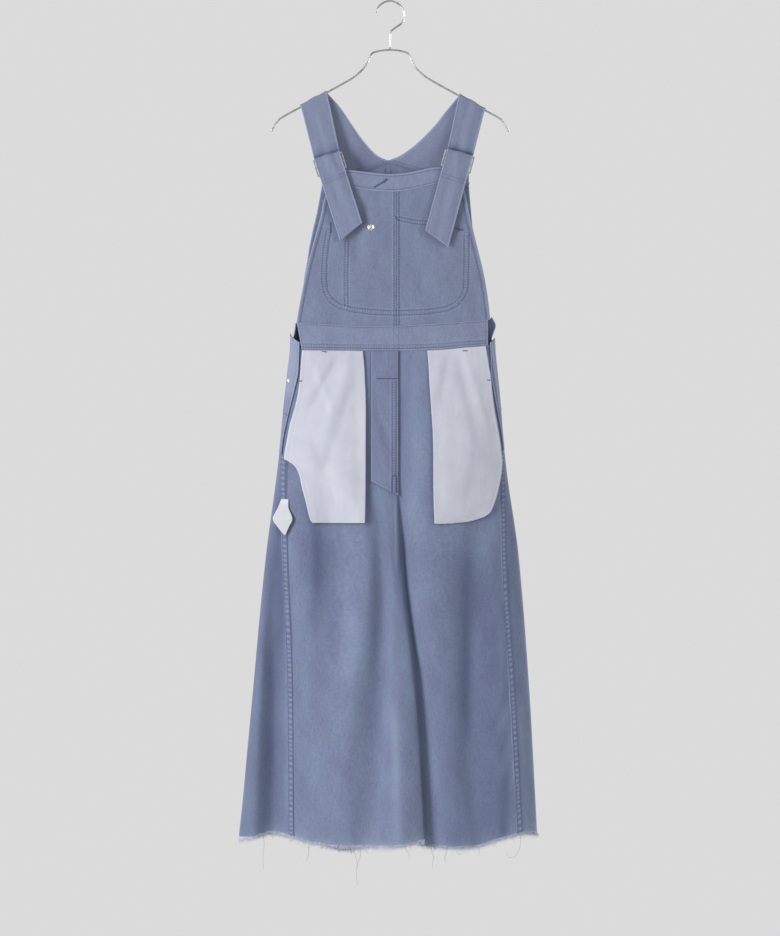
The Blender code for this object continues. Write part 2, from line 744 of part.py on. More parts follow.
def build_front_waistband():
    """The front waistband: it stands on the skirt's top edge."""
    us = run_of_folds(fold("seam_left"), fold("seam_right"), 2)
    bottom = part_at_seams(skirt_points(us, np.zeros_like(us))[None].copy())[0]
    bottom[:, 2] += SEAM_GAP
    grid = []
    for t in np.linspace(0.0, 1.0, 3):
        row = bottom.copy()
        row[:, 2] = waist_top(bottom[:, 0]) + (bottom[:, 2] - waist_top(bottom[:, 0])) * t
        row[:, 0] -= WAIST_END_SLANT * (1 - t) * np.clip(-bottom[:, 0] / 150.0, 0.0, 1.0) ** 2
        row[:, 1] = front_y(row[:, 0], row[:, 2]) * (1 - t) + bottom[:, 1] * t
        grid.append(row)
    add_wall("waistband_front", np.array(grid), DOUBLED_TWILL, SLATE_TWILL_PALE)


def build_bib_pocket():
    """The wide pocket behind the bib, whose stitching shows in front."""
    cloth = 1.2
    behind = TWILL / 2 + SEAM_GAP + cloth / 2
    grid = []
    for row in BIB_POCKET:
        xs = np.linspace(row.left, row.right, 8)
        grid.append([(x, front_y(x, row.height) + behind, row.height) for x in xs])
    add_wall("bib_pocket", np.array(grid), cloth, SLATE_TWILL)


def build_button(name, centre, outward, radius, height, finish):
    """A round metal button on a shank: a domed head whose back lies on the cloth."""
    work = bmesh.new()
    made = bmesh.ops.create_cone(work, cap_ends=True, cap_tris=False, segments=16, radius1=radius * MM,
                                 radius2=radius * 0.72 * MM, depth=height * MM)
    rim = [edge for edge in work.edges if all(v.co.z > 0 for v in edge.verts)]
    bmesh.ops.bevel(work, geom=rim, offset=0.25 * height * MM, segments=2, affect="EDGES", profile=0.5,
                    material=-1)
    turn = Vector(outward).to_track_quat("Z", "Y").to_matrix().to_4x4()
    place = Matrix.Translation(Vector(centre) * MM + Vector(outward) * (height / 2 * MM))
    bmesh.ops.transform(work, matrix=place @ turn, verts=work.verts)
    add_solid(name, work, finish)


def build_back():
    """The back above the waist: its top edge rises to the yoke's middle."""
    apex = -269.4
    corner_left, corner_right = -310.0, -311.7
    grid = []
    for t in np.linspace(0.0, 1.0, 10):
        bottom = BACK_WAIST_TOP_Z + SEAM_GAP
        heights = [top + (bottom - top) * t for top in (corner_left, apex, corner_right)]
        left = edge_at(BACK_EDGES, heights[0])[0]
        right = edge_at(BACK_EDGES, heights[2])[1]
        row = []
        for share in np.linspace(-1.0, 1.0, 9):
            side = left if share < 0 else right
            side_height = heights[0] if share < 0 else heights[2]
            x = YOKE_APEX_X + (side - YOKE_APEX_X) * abs(share)
            z = heights[1] + (side_height - heights[1]) * abs(share)
            depth = YOKE_Y + (BACK_WAIST_Y + 1.5 - YOKE_Y) * t
            y = depth - 14.0 * t**3 * abs(share) ** 5
            row.append((x, y, z))
        grid.append(row)
    add_wall("back_panel", np.array(grid), TWILL, SLATE_TWILL)


def build_back_waistband():
    """The back waistband: it follows the skirt's top, and its right end is turned over at the corner."""
    us = np.linspace(fold("edge_right") + 0.12, fold("edge_left", 1) - 0.12, 24)
    level = skirt_points(us, np.zeros_like(us))
    grid = []
    for t in np.linspace(0.0, 1.0, 5):
        top = np.full(len(us), BACK_WAIST_TOP_Z)
        bottom = level[:, 2] + SEAM_GAP
        row = level.copy()
        row[:, 2] = top + (bottom - top) * t
        row[:, 0] *= 1.0 - 0.035 * (1 - t)
        end = np.clip(1.0 - (us - us[0]) / 0.7, 0.0, 1.0) ** 2
        row[:, 0] += 10.0 * end * math.sin(math.pi * min(1.0, 0.25 + t)) ** 2
        row[0, 2] += FLAP_RISE * (1.0 - t) ** 2
        grid.append(row)
    add_wall("waistband_back", np.array(grid), DOUBLED_TWILL, SLATE_TWILL_PALE)


# ---------------------------------------------------------------------------------------------
# Skirt
# ---------------------------------------------------------------------------------------------


def run_of_folds(first, last, steps):
    """Parameters from one fold line to another, with even steps between neighbouring lines."""
    return np.linspace(first, last, int(round(last - first)) * steps + 1)


PANELS = (
    ("skirt_front_left", fold("seam_left"), fold("tuck")),
    ("skirt_front_right", fold("tuck"), fold("seam_right")),
    ("skirt_back_right", fold("seam_right"), fold("back_middle")),
    ("skirt_back_left", fold("back_middle"), fold("seam_left", 1)),
)


def part_at_seams(points):
    """Draw the two side edges of a grid in by half of the gap at a seam."""
    points[:, 0] += unit(points[:, 1] - points[:, 0]) * SEAM_GAP / 2
    points[:, -1] += unit(points[:, -2] - points[:, -1]) * SEAM_GAP / 2
    return points


def skirt_rows():
    """Shares of the way down at which the panels have rows: closer over the hips, wider below."""
    over_hips = np.linspace(0.0, LEVELS[2], 9)
    return np.concatenate([over_hips, np.linspace(LEVELS[2], 1.0, 7)[1:]])


def panel_grid(first, last):
    """A panel's middle points and outward directions."""
    u, v = np.meshgrid(run_of_folds(first, last, 3), skirt_rows())
    return part_at_seams(skirt_points(u, v)), skirt_normals(u, v)


def build_skirt():
    """The skirt's four panels, with their folds."""
    for name, first, last in PANELS:
        points, normals = panel_grid(first, last)
        add_wall(name, points, TWILL, SLATE_TWILL, normals)


def fray_marks(length):
    """Places along a hem of a given length that part tufts from the gaps between them."""
    count = int(length // FRAY_PITCH)
    pitch = length / count
    marks = [0.0]
    for k in range(count):
        middle = (k + 0.5) * pitch
        marks += [middle - pitch * FRAY_TUFT_SHARE / 2, middle + pitch * FRAY_TUFT_SHARE / 2]
    marks.append(length)
    return marks


def along_hem(values, length, marks):
    """Values given at a panel's hem points, read at places along the hem."""
    return np.stack([np.interp(marks, length, values[:, k]) for k in range(3)], axis=1)


def build_fray():
    """The raw hem: a narrow strip under each panel with tapered tufts of thread."""
    down = np.array([0.0, 0.0, -1.0])
    for name, first, last in PANELS:
        points, normals = panel_grid(first, last)
        steps = np.linalg.norm(np.diff(points[-1], axis=0), axis=1)
        length = np.concatenate([[0.0], np.cumsum(steps)])
        marks = fray_marks(length[-1])
        hem = along_hem(points[-1], length, marks)
        out = along_hem(normals[-1], length, marks)
        edge = hem + down * (SEAM_GAP + FRAY_STRIP)
        work = wall_mesh(np.stack([hem + down * SEAM_GAP, edge]), np.stack([out, out]), TWILL)
        for k, face in enumerate(tuft_faces(work, edge)):
            drop = FRAY_LENGTHS[k % len(FRAY_LENGTHS)] * MM
            made = bmesh.ops.extrude_discrete_faces(work, faces=[face])
            tip = made["faces"][0]
            centre = tip.calc_center_median()
            for corner in tip.verts:
                corner.co = centre + (corner.co - centre) * FRAY_TIP_SHARE
                corner.co.z -= drop
        add_solid(name.replace("skirt", "fray"), work, SLATE_TWILL_PALE)


def tuft_faces(work, edge):
    """Every second face along the under side of a fray strip."""
    chosen = []
    middles = (edge[:-1] + edge[1:]) / 2 * MM
    for k in range(1, len(middles), 2):
        target = Vector(middles[k])
        under = [face for face in work.faces
                 if (face.calc_center_median() - target).length < 0.0004]
        chosen.append(under[0])
    return chosen


def build_plackets():
    """The side openings' facing strips, lying on the back panels where they turn to the front."""
    outward = TWILL + SEAM_GAP + LAY_CLEARANCE
    ends = (("placket_left", fold("edge_left") - 0.05, fold("seam_left") - 0.25, -0.029, -0.014,
             PLACKET_TURN, 0.0, 0.0, PLACKET_REACH[0]),
            ("placket_right", fold("seam_right") + 0.25, fold("edge_right") + 0.05, -0.004, -0.014,
             0.0, -PLACKET_TURN, PLACKET_REACH[1], 0.0))
    for name, first, last, top_first, top_last, turn_first, turn_last, *reach in ends:
        us = np.linspace(first, last, 8)
        tops = np.linspace(top_first, top_last, 8)
        v = np.array([tops + (0.215 - tops) * t for t in np.linspace(0.0, 1.0, 8)])
        turns = np.linspace(turn_first, turn_last, 8)
        down = np.linspace(0.0, 1.0, 8)[:, None]
        u = us + turns * down**3 + np.linspace(*reach, 8) * (smooth_step(down / 0.3) - 0.6 * down**3)
        normals = skirt_normals(u, np.maximum(v, 0.005))
        add_wall(name, skirt_points(u, v) + normals * outward, TWILL, SLATE_TWILL_PALE)
    normal = skirt_normals(BUTTON_U, BUTTON_V)
    place = skirt_points(BUTTON_U, BUTTON_V) + normal * (outward + TWILL / 2 + SEAM_GAP)
    build_button("side_button", place, normal, BUTTON_RADIUS, 1.8, NICKEL)


# ---------------------------------------------------------------------------------------------
# What lies on the front
# ---------------------------------------------------------------------------------------------


def skirt_face(trees, x, z):
    """The frontmost cloth of the skirt at x and z: its depth, and how squarely it faces the front."""
    hits = []
    for aside in (-2.0, 0.0, 2.0):
        start = Vector(((x + aside) * MM, -1.0, z * MM))
        hits += [tree.ray_cast(start, Vector((0.0, 1.0, 0.0))) for tree in trees]
    point, normal, _, _ = min((hit for hit in hits if hit[0] is not None), key=lambda hit: hit[0].y)
    return point.y / MM, max(0.6, abs(normal.y))


def skirt_trees():
    """The four panels, ready for finding their outer face."""
    depsgraph = bpy.context.evaluated_depsgraph_get()
    return [BVHTree.FromObject(bpy.data.objects[name], depsgraph) for name, _, _ in PANELS]


def laid_on_front(xs, zs, away):
    """Points over the skirt's front panels at given places, moved out from the cloth's own face."""
    trees = skirt_trees()
    place = np.zeros(xs.shape + (3,))
    for index in np.ndindex(xs.shape):
        depth, facing = skirt_face(trees, xs[index], zs[index])
        place[index] = (xs[index], depth - away[index] / facing, zs[index])
    return place


def build_pocket_bag(name, table, inner_is_right):
    """A pocket bag: two layers of pocketing sewn together, hanging free below the waistband."""
    columns = 10
    base = SEAM_GAP + POCKETING / 2 + LAY_CLEARANCE
    zs = np.array([[row.height] * columns for row in table])
    xs = np.array([np.linspace(row.left, row.right, columns) for row in table])
    down = (table[0].height - zs) / (table[0].height - table[-1].height)
    across = np.linspace(0.0, 1.0, columns) if inner_is_right else np.linspace(1.0, 0.0, columns)
    away = base + 4.0 * down * np.maximum(across, 0.25)[None, :]
    zs = zs + (waist_low(xs) - BAG_DROP - table[0].height) * (1.0 - down) ** 6
    add_wall(name, laid_on_front(xs, zs, away), POCKETING, WHITE_POCKETING)


def build_fly_shield():
    """The fly's facing: a long strip with a slanting end, over the middle seam."""
    shares = np.linspace(0.0, 1.0, 5)
    bottom = SHIELD_LEFT_BOTTOM_Z + (SHIELD_RIGHT_BOTTOM_Z - SHIELD_LEFT_BOTTOM_Z) * shares
    xs = np.tile(SHIELD_LEFT_X + (SHIELD_RIGHT_X - SHIELD_LEFT_X) * shares, (10, 1))
    zs = np.array([SHIELD_TOP_Z + (bottom - SHIELD_TOP_Z) * t for t in np.linspace(0.0, 1.0, 10)])
    away = np.full(xs.shape, TWILL / 2 + SEAM_GAP + 1.5 * LAY_CLEARANCE)
    add_wall("fly_shield", laid_on_front(xs, zs, away), TWILL, SLATE_TWILL)


def build_label():
    """The blank care label, caught in the left side seam and turned on its corner."""
    xs = np.array([np.linspace(row.left, row.right, 3) for row in LABEL_ROWS])
    zs = np.array([[row.height] * 3 for row in LABEL_ROWS])
    away = np.full(xs.shape, SEAM_GAP + LABEL_CLOTH / 2)
    away[0] -= LABEL_TUCK
    place = laid_on_front(xs, zs, away)
    for k, lift in enumerate(LABEL_LIFTS):
        if lift > 0:
            place[k, :, 1] = place[k, :, 1].min() - lift
    add_wall("care_label", place, LABEL_CLOTH, SATIN)


def build_all():
    """Every piece of the garment and its hanger."""
    for item in list(bpy.data.objects):
        bpy.data.objects.remove(item, do_unlink=True)
    build_hanger()
    for strap in STRAPS:
        build_strap(strap)
        build_buckle(strap)
        build_tab(strap)
    build_bib()
    build_front_waistband()
    build_bib_pocket()
    stud_y = float(front_y(STUD_X, STUD_Z)) - TWILL / 2 - SEAM_GAP
    build_button("bib_stud", (STUD_X, stud_y, STUD_Z), (0.0, -1.0, 0.0), STUD_RADIUS, 2.4, NICKEL)
    build_back()
    build_back_waistband()
    build_skirt()
    build_fray()
    build_plackets()
    build_pocket_bag("pocket_bag_left", POCKET_BAG_LEFT, True)
    build_pocket_bag("pocket_bag_right", POCKET_BAG_RIGHT, False)
    build_fly_shield()
    build_label()


build_all()
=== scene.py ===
"""The looks of an overall maxi skirt of garment-dyed twill, hanging on a bent-wire hanger.

Sizes are in millimetres in the garment's own frame (X to the right as seen from the front, -Y the
front, +Z up, the origin at the inner top of the hanger's hook), and turned to metres where a mesh
is made.
"""

import logging
import math
from collections.abc import Callable, Sequence
from dataclasses import dataclass, field
from enum import Enum

import bmesh
import bpy
import numpy as np
from mathutils import Matrix, Vector
from mathutils.bvhtree import BVHTree


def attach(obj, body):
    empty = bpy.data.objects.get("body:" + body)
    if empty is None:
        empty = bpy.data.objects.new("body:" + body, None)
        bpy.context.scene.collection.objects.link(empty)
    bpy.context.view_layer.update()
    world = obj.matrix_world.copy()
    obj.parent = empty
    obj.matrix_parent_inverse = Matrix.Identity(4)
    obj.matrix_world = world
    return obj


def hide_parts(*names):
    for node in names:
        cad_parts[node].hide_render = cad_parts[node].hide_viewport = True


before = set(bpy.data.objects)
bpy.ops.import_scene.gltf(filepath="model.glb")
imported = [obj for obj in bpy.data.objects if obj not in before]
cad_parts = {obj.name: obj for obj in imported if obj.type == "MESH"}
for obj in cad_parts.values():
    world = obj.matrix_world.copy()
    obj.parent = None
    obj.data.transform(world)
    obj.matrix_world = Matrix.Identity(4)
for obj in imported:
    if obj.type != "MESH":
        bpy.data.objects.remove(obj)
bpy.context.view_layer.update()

Array = np.ndarray
Rows = Sequence[tuple[float, float, float]]
Raised = tuple[Array, Array]
Relief = Callable[[Array, Array, Array], Raised]
LOG = logging.getLogger("overall_skirt")

MM = 0.001
BODY = "root"
WEAR_AND_SHADE = "wear_and_shade"
CLOTH_UV = "cloth"
WAVE_TURN = 6.283

# Cloth and wire
SEAM_GAP = 0.3
LAY_CLEARANCE = 0.3
TUCKED = 0.4
TWILL = 1.6
DOUBLED_TWILL = 2.2
STRAP_CLOTH = 2.0
POCKETING = 2.0
LABEL_CLOTH = 1.0
WIRE_RADIUS = 1.6

# Levels of the garment
WAIST_TOP_Z = -545.5
BACK_WAIST_TOP_Z = -546.4
FRONT_WAIST_Y = -22.0
BACK_WAIST_Y = 22.0
BIB_TOP_Y = -14.0
YOKE_Y = 9.0
YOKE_APEX_X = -3.4
BIB_SEAM_X = 11.0


# Curves and surfaces


def unit(vectors: Array) -> Array:
    """Vectors of length one."""
    return vectors / np.maximum(np.linalg.norm(vectors, axis=-1, keepdims=True), 1e-12)


def smooth_step(share: Array | float) -> Array | float:
    """An even ease from 0 to 1."""
    share = np.clip(share, 0.0, 1.0)
    return share * share * (3 - 2 * share)


def hump(distance: Array, width: float) -> Array:
    """A soft hump of height 1 where the distance is 0."""
    return np.exp(-((distance / width) ** 2))


def wander(place: Array, seed: float) -> Array:
    """A smooth uneven wave between about -1 and 1, the same on every run.

    Args:
        place: Where to read it, in turns of its main wave.
        seed: Which wave.

    Returns:
        The wave's value at each place.
    """
    turn = WAVE_TURN * place
    return (np.sin(turn + seed) + 0.6 * np.sin(0.618 * turn + 2.3 * seed)
            + 0.5 * np.sin(1.73 * turn + 4.1 * seed)) / 2.1


def line_distance(x: Array, z: Array, path: Sequence[tuple[float, float]]) -> tuple[Array, Array]:
    """How far points are from a drawn line.

    Args:
        x: Across, in mm.
        z: Up, in mm.
        path: Corners of the line.

    Returns:
        The distance from the line, and how far along the line its nearest point is.
    """
    best = np.full(x.shape, 1e9)
    along = np.zeros(x.shape)
    start = 0.0
    for (x0, z0), (x1, z1) in zip(path, path[1:]):
        length = math.hypot(x1 - x0, z1 - z0)
        share = np.clip(((x - x0) * (x1 - x0) + (z - z0) * (z1 - z0)) / length**2, 0.0, 1.0)
        distance = np.hypot(x - x0 - (x1 - x0) * share, z - z0 - (z1 - z0) * share)
        along = np.where(distance < best, start + share * length, along)
        best = np.minimum(best, distance)
        start += length
    return best, along


def smooth_path(points: Sequence[Sequence[float]], steps: int) -> Array:
    """A smooth path through points, with a number of steps between neighbours.

    Args:
        points: What it goes through.
        steps: Steps between two of them.

    Returns:
        The path's points.
    """
    given = np.array(points, dtype=float)
    ends = np.concatenate([[2 * given[0] - given[1]], given, [2 * given[-1] - given[-2]]])
    path = []
    for a, b, c, d in zip(ends, ends[1:], ends[2:], ends[3:]):
        for t in np.arange(steps) / steps:
            path.append(0.5 * (2 * b + (c - a) * t + (2 * a - 5 * b + 4 * c - d) * t**2
                               + (3 * b - a - 3 * c + d) * t**3))
    path.append(given[-1])
    return np.array(path)


def lengths_along(path: Array) -> Array:
    """How far along a path each of its points is."""
    return np.concatenate([[0.0], np.cumsum(np.linalg.norm(np.diff(path, axis=0), axis=1))])


def read_along(marks: Array, lengths: Array, values: Array) -> Array:
    """Values given along a path, read at other marks along it."""
    return np.stack([np.interp(marks, lengths, column) for column in values.T], axis=-1)


def evenly(path: Array, step: float) -> Array:
    """A path's points at an even step along it.

    Args:
        path: Its points.
        step: Wanted distance between marks.

    Returns:
        The marked points.
    """
    lengths = lengths_along(path)
    marks = np.linspace(0.0, lengths[-1], max(2, int(round(lengths[-1] / step)) + 1))
    return read_along(marks, lengths, path)


@dataclass(frozen=True)
class Spread:
    """Even cells over stretches of unequal length: cell counts as running totals."""

    knots: Array

    @classmethod
    def over(cls, lengths: Array, cell: float, least: int = 1) -> "Spread":
        """Share cells of about one size among stretches.

        Args:
            lengths: Length of each stretch.
            cell: Wanted length of a cell.
            least: Fewest cells in a stretch.

        Returns:
            The spread.
        """
        counts = np.maximum(least, np.round(lengths / cell)).astype(int)
        return cls(np.concatenate([[0], np.cumsum(counts)]))

    @property
    def cells(self) -> int:
        """How many cells there are in all."""
        return int(self.knots[-1])

    def at(self, share: Array) -> Array:
        """The stretch number, with its fraction, at a share of all cells."""
        return np.interp(share * self.cells, self.knots, np.arange(len(self.knots)))


def cubic_weights(place: Array, count: int) -> tuple[list[Array], list[Array]]:
    """Indices and weights that read a padded row of values smoothly.

    Args:
        place: Where to read, from 0 to count - 1.
        count: How many values the row has without its padding.

    Returns:
        Four index arrays into the padded row, and their four weights.
    """
    first = np.clip(np.floor(place).astype(int), 0, count - 2)
    f = place - first
    weights = [(-f + 2 * f**2 - f**3) / 2, (2 - 5 * f**2 + 3 * f**3) / 2,
               (f + 4 * f**2 - 3 * f**3) / 2, (-(f**2) + f**3) / 2]
    return [first + k for k in range(4)], weights


def padded_ends(grid: Array, axis: int) -> Array:
    """A grid with one more row at each end, carried straight on.

    Args:
        grid: Points in rows and columns.
        axis: Which way it grows.

    Returns:
        The wider grid.
    """
    grid = np.moveaxis(grid, axis, 0)
    grid = np.concatenate([[2 * grid[0] - grid[1]], grid, [2 * grid[-1] - grid[-2]]])
    return np.moveaxis(grid, 0, axis)


@dataclass(frozen=True)
class Form:
    """The middle surface of a sheet: s runs across from 0 to 1, and t down."""

    columns: int
    rows: int
    place: Callable[[Array, Array], Array]

    @classmethod
    def through(cls, grid: Array, cell: float, least: int = 1, cell_down: float = 0.0) -> "Form":
        """A smooth surface through a coarse grid of points.

        Args:
            grid: Points in mm, rows down the piece and columns across it.
            cell: Wanted size of a cell, in mm.
            least: Fewest cells between two rows or columns.
            cell_down: Wanted size of a cell down the piece, where it differs.

        Returns:
            The form.
        """
        rows, columns = grid.shape[:2]
        across = Spread.over(np.linalg.norm(np.diff(grid, axis=1), axis=2).max(axis=0), cell, least)
        down = Spread.over(np.linalg.norm(np.diff(grid, axis=0), axis=2).max(axis=1),
                           cell_down or cell, least)
        full = padded_ends(padded_ends(grid, 0), 1)

        def place(s: Array, t: Array) -> Array:
            """Points of the surface.

            Args:
                s: Share of the way across.
                t: Share of the way down.

            Returns:
                The points, in mm.
            """
            column_index, column_weight = cubic_weights(across.at(s), columns)
            row_index, row_weight = cubic_weights(down.at(t), rows)
            point = np.zeros(s.shape + (3,))
            for i, a in zip(row_index, row_weight):
                for j, b in zip(column_index, column_weight):
                    point += (a * b)[..., None] * full[i, j]
            return point

        return cls(across.cells, down.cells, place)


# Materials


def linear(hex_colour: str) -> tuple[float, float, float, float]:
    """An sRGB hex colour as linear light, with full opacity.

    Args:
        hex_colour: Red, green and blue after a hash.

    Returns:
        Red, green, blue and opacity.
    """
    channels = [int(hex_colour[k : k + 2], 16) / 255 for k in (1, 3, 5)]
    red, green, blue = (c / 12.92 if c <= 0.04045 else ((c + 0.055) / 1.055) ** 2.4
                        for c in channels)
    return red, green, blue, 1.0


class Graph:
    """The nodes of a material or a world, with short ways to add and link them."""

    def __init__(self, tree: bpy.types.NodeTree) -> None:
        """Keep the tree that nodes are added to."""
        self.tree = tree

    def feed(self, node: bpy.types.Node, inputs: dict) -> None:
        """Give a node's inputs their values or links.

        Args:
            node: The node.
            inputs: Values or sockets, by the input's name or number.
        """
        for name, value in inputs.items():
            if isinstance(value, bpy.types.NodeSocket):
                self.tree.links.new(value, node.inputs[name])
            else:
                node.inputs[name].default_value = value

    def add(self, kind: str, inputs: dict | None = None, output: int | str = 0,
            **settings: object) -> bpy.types.NodeSocket:
        """Add a node.

        Args:
            kind: The node's type.
            inputs: Values or sockets for its inputs.
            output: Which of its outputs is wanted.
            settings: Its own properties.

        Returns:
            The output.
        """
        node = self.tree.nodes.new(kind)
        for name, value in settings.items():
            setattr(node, name, value)
        self.feed(node, inputs or {})
        return node.outputs[output]

    def cloth(self) -> bpy.types.NodeSocket:
        """The place on the cloth, in metres across and down."""
        return self.add("ShaderNodeUVMap", uv_map=CLOTH_UV)

    def wear_and_shade(self) -> bpy.types.NodeSocket:
        """The cloth's wear with its painted light and shade, from -1 where it is dark to 1 where it
        is pale.
        """
        return self.add("ShaderNodeAttribute", output="Fac", attribute_name=WEAR_AND_SHADE)

    def stretched(self, place: bpy.types.NodeSocket, across: float, down: float
                  ) -> bpy.types.NodeSocket:
        """A place with its two directions scaled apart."""
        return self.add("ShaderNodeMapping", {"Vector": place, "Scale": (across, down, 1.0)})

    def noise(self, place: bpy.types.NodeSocket, scale: float, detail: float,
              roughness: float = 0.5) -> bpy.types.NodeSocket:
        """Smooth noise at a place."""
        return self.add("ShaderNodeTexNoise", {"Vector": place, "Scale": scale, "Detail": detail,
                                               "Roughness": roughness})

    def span(self, value: bpy.types.NodeSocket, low: float, high: float, to_low: float = 0.0,
             to_high: float = 1.0) -> bpy.types.NodeSocket:
        """A value between two limits, carried to between two others."""
        return self.add("ShaderNodeMapRange", {"Value": value, "From Min": low, "From Max": high,
                                               "To Min": to_low, "To Max": to_high})

    def mix(self, share: bpy.types.NodeSocket, first: object, second: object
            ) -> bpy.types.NodeSocket:
        """Two colours mixed by a share."""
        return self.add("ShaderNodeMix", {0: share, 6: first, 7: second}, 2, data_type="RGBA")

    def times(self, colour: object, level: bpy.types.NodeSocket) -> bpy.types.NodeSocket:
        """A colour made lighter or darker by a level."""
        return self.add("ShaderNodeVectorMath", {0: colour, "Scale": level}, operation="SCALE")

    def bump(self, height: bpy.types.NodeSocket, strength: float, distance: float
             ) -> bpy.types.NodeSocket:
        """A normal that a height turns."""
        return self.add("ShaderNodeBump", {"Height": height, "Strength": strength,
                                           "Distance": distance})


@dataclass(frozen=True)
class Surface:
    """A finish, in one plain colour unless it paints more."""

    name: str
    colour: str

    def material(self) -> bpy.types.Material:
        """The material, made once.

        Returns:
            The material.
        """
        made = bpy.data.materials.get(self.name)
        if not made:
            made = bpy.data.materials.new(self.name)
            made.use_nodes = True
            graph = Graph(made.node_tree)
            graph.feed(made.node_tree.nodes["Principled BSDF"], self.paint(graph))
            made.diffuse_color = linear(self.colour)
        return made

    def paint(self, graph: Graph) -> dict:
        """The shader's inputs, by name."""
        return {"Base Color": linear(self.colour), "Roughness": 0.9}


@dataclass(frozen=True)
class GarmentDyedTwill(Surface):
    """Cotton twill, woven undyed and dyed as a finished garment in one bath.

    The dye takes unevenly: clouds of bluer and redder slate a few centimetres wide and fine flecks
    along the weave. A wear attribute makes it paler at worn edges and in painted highlights on
    ridges and puckers, and darker along stitched lines and in painted shade of folds and creases.
    The nap makes it matt.
    """

    warm: str
    worn_and_lit: str = "#9FA9C6"
    deep_and_shaded: str = "#4B5475"
    cloud: float = 36.0
    streak_width: float = 2.6
    streak_length: float = 10.0
    fleck: float = 3.2
    twill_line: float = 1.8
    wear_and_shade_strength: float = 0.75

    def paint(self, graph: Graph) -> dict:
        """Clouds of dye, flecks along the weave, wear with painted highlight and shade, and the
        twill's fine lines.

        Args:
            graph: The material's nodes.

        Returns:
            The shader's inputs, by name.
        """
        uv = graph.cloth()
        hang = graph.stretched(uv, 1000 / self.cloud, 400 / self.cloud)
        cloud = graph.span(graph.noise(hang, 1.0, 4.0, 0.55), 0.29, 0.71)
        dye = graph.mix(cloud, linear(self.colour), linear(self.warm))
        along = graph.stretched(uv, 1000 / self.streak_width, 1000 / self.streak_length)
        grain = graph.add("ShaderNodeMath", {0: graph.noise(along, 1.0, 2.0),
                                             1: graph.noise(uv, 1000 / self.fleck, 2.0)},
                          operation="ADD")
        grained = graph.times(dye, graph.span(grain, 0.6, 1.4, 0.84, 1.16))
        # Above 0 the wear attribute mixes towards the pale colour, for worn cloth and painted
        # highlight; below 0 towards the dark colour, for stitched lines and painted shade.
        wear_and_shade = graph.wear_and_shade()
        paler = graph.span(wear_and_shade, 0.0, 1.0, 0.0, self.wear_and_shade_strength)
        darker = graph.span(wear_and_shade, 0.0, -1.0, 0.0, self.wear_and_shade_strength)
        pale = graph.mix(paler, grained, linear(self.worn_and_lit))
        lines = graph.add("ShaderNodeTexWave", {"Vector": uv, "Scale": 628 / self.twill_line,
                                                "Distortion": 1.5, "Detail": 1.0},
                          "Fac", bands_direction="DIAGONAL")
        return {"Base Color": graph.mix(darker, pale, linear(self.deep_and_shaded)),
                "Normal": graph.bump(lines, 0.35, 0.0003), "Roughness": 0.9,
                "Specular IOR Level": 0.25, "Sheen Weight": 0.12, "Sheen Roughness": 0.5}


@dataclass(frozen=True)
class PlainCotton(Surface):
    """Bleached cotton pocketing or satin tape: plain weave, slightly blued by the garment dye."""

    tint: str
    roughness: float
    thread: float
    cloud: float = 55.0

    def paint(self, graph: Graph) -> dict:
        """Soft clouds of tint, painted shade and highlight from the wear attribute, and a fine
        weave.

        Args:
            graph: The material's nodes.

        Returns:
            The shader's inputs, by name.
        """
        uv = graph.cloth()
        cloud = graph.span(graph.noise(uv, 1000 / self.cloud, 4.0, 0.6), 0.3, 0.7)
        colour = graph.mix(cloud, linear(self.colour), linear(self.tint))
        # The wear attribute scales the colour: painted shade below 0, painted highlight above it.
        shaded = graph.times(colour, graph.span(graph.wear_and_shade(), -1.0, 1.0, 0.78, 1.1))
        weave = graph.add("ShaderNodeTexChecker", {"Vector": uv, "Scale": 500 / self.thread}, "Fac")
        return {"Base Color": shaded, "Normal": graph.bump(weave, 0.2, 0.0001),
                "Roughness": self.roughness, "Specular IOR Level": 0.3}


@dataclass(frozen=True)
class SewingThread(Surface):
    """Spun polyester-cotton thread, dyed with the garment: a little redder and darker than it."""

    twist: float = 0.8

    def paint(self, graph: Graph) -> dict:
        """Light and dark along the twisted thread, as the shader's inputs.

        Args:
            graph: The material's nodes.

        Returns:
            The shader's inputs, by name.
        """
        where = graph.add("ShaderNodeTexCoord", output="Object")
        level = graph.span(graph.noise(where, 1000 / self.twist, 1.0), 0.3, 0.7, 0.8, 1.2)
        return {"Base Color": graph.times(linear(self.colour)[:3], level), "Roughness": 0.7}


@dataclass(frozen=True)
class PolishedMetal(Surface):
    """Drawn or plated metal with a bright rolled finish and faint draw marks."""

    roughness: float
    mark: float = 6.0

    def paint(self, graph: Graph) -> dict:
        """Uneven polish, as the shader's inputs.

        Args:
            graph: The material's nodes.

        Returns:
            The shader's inputs, by name.
        """
        where = graph.add("ShaderNodeTexCoord", output="Object")
        rough = graph.span(graph.noise(where, 1000 / self.mark, 3.0), 0.3, 0.7,
                           self.roughness * 0.7, self.roughness * 1.4)
        return {"Base Color": linear(self.colour), "Metallic": 1.0, "Roughness": rough}


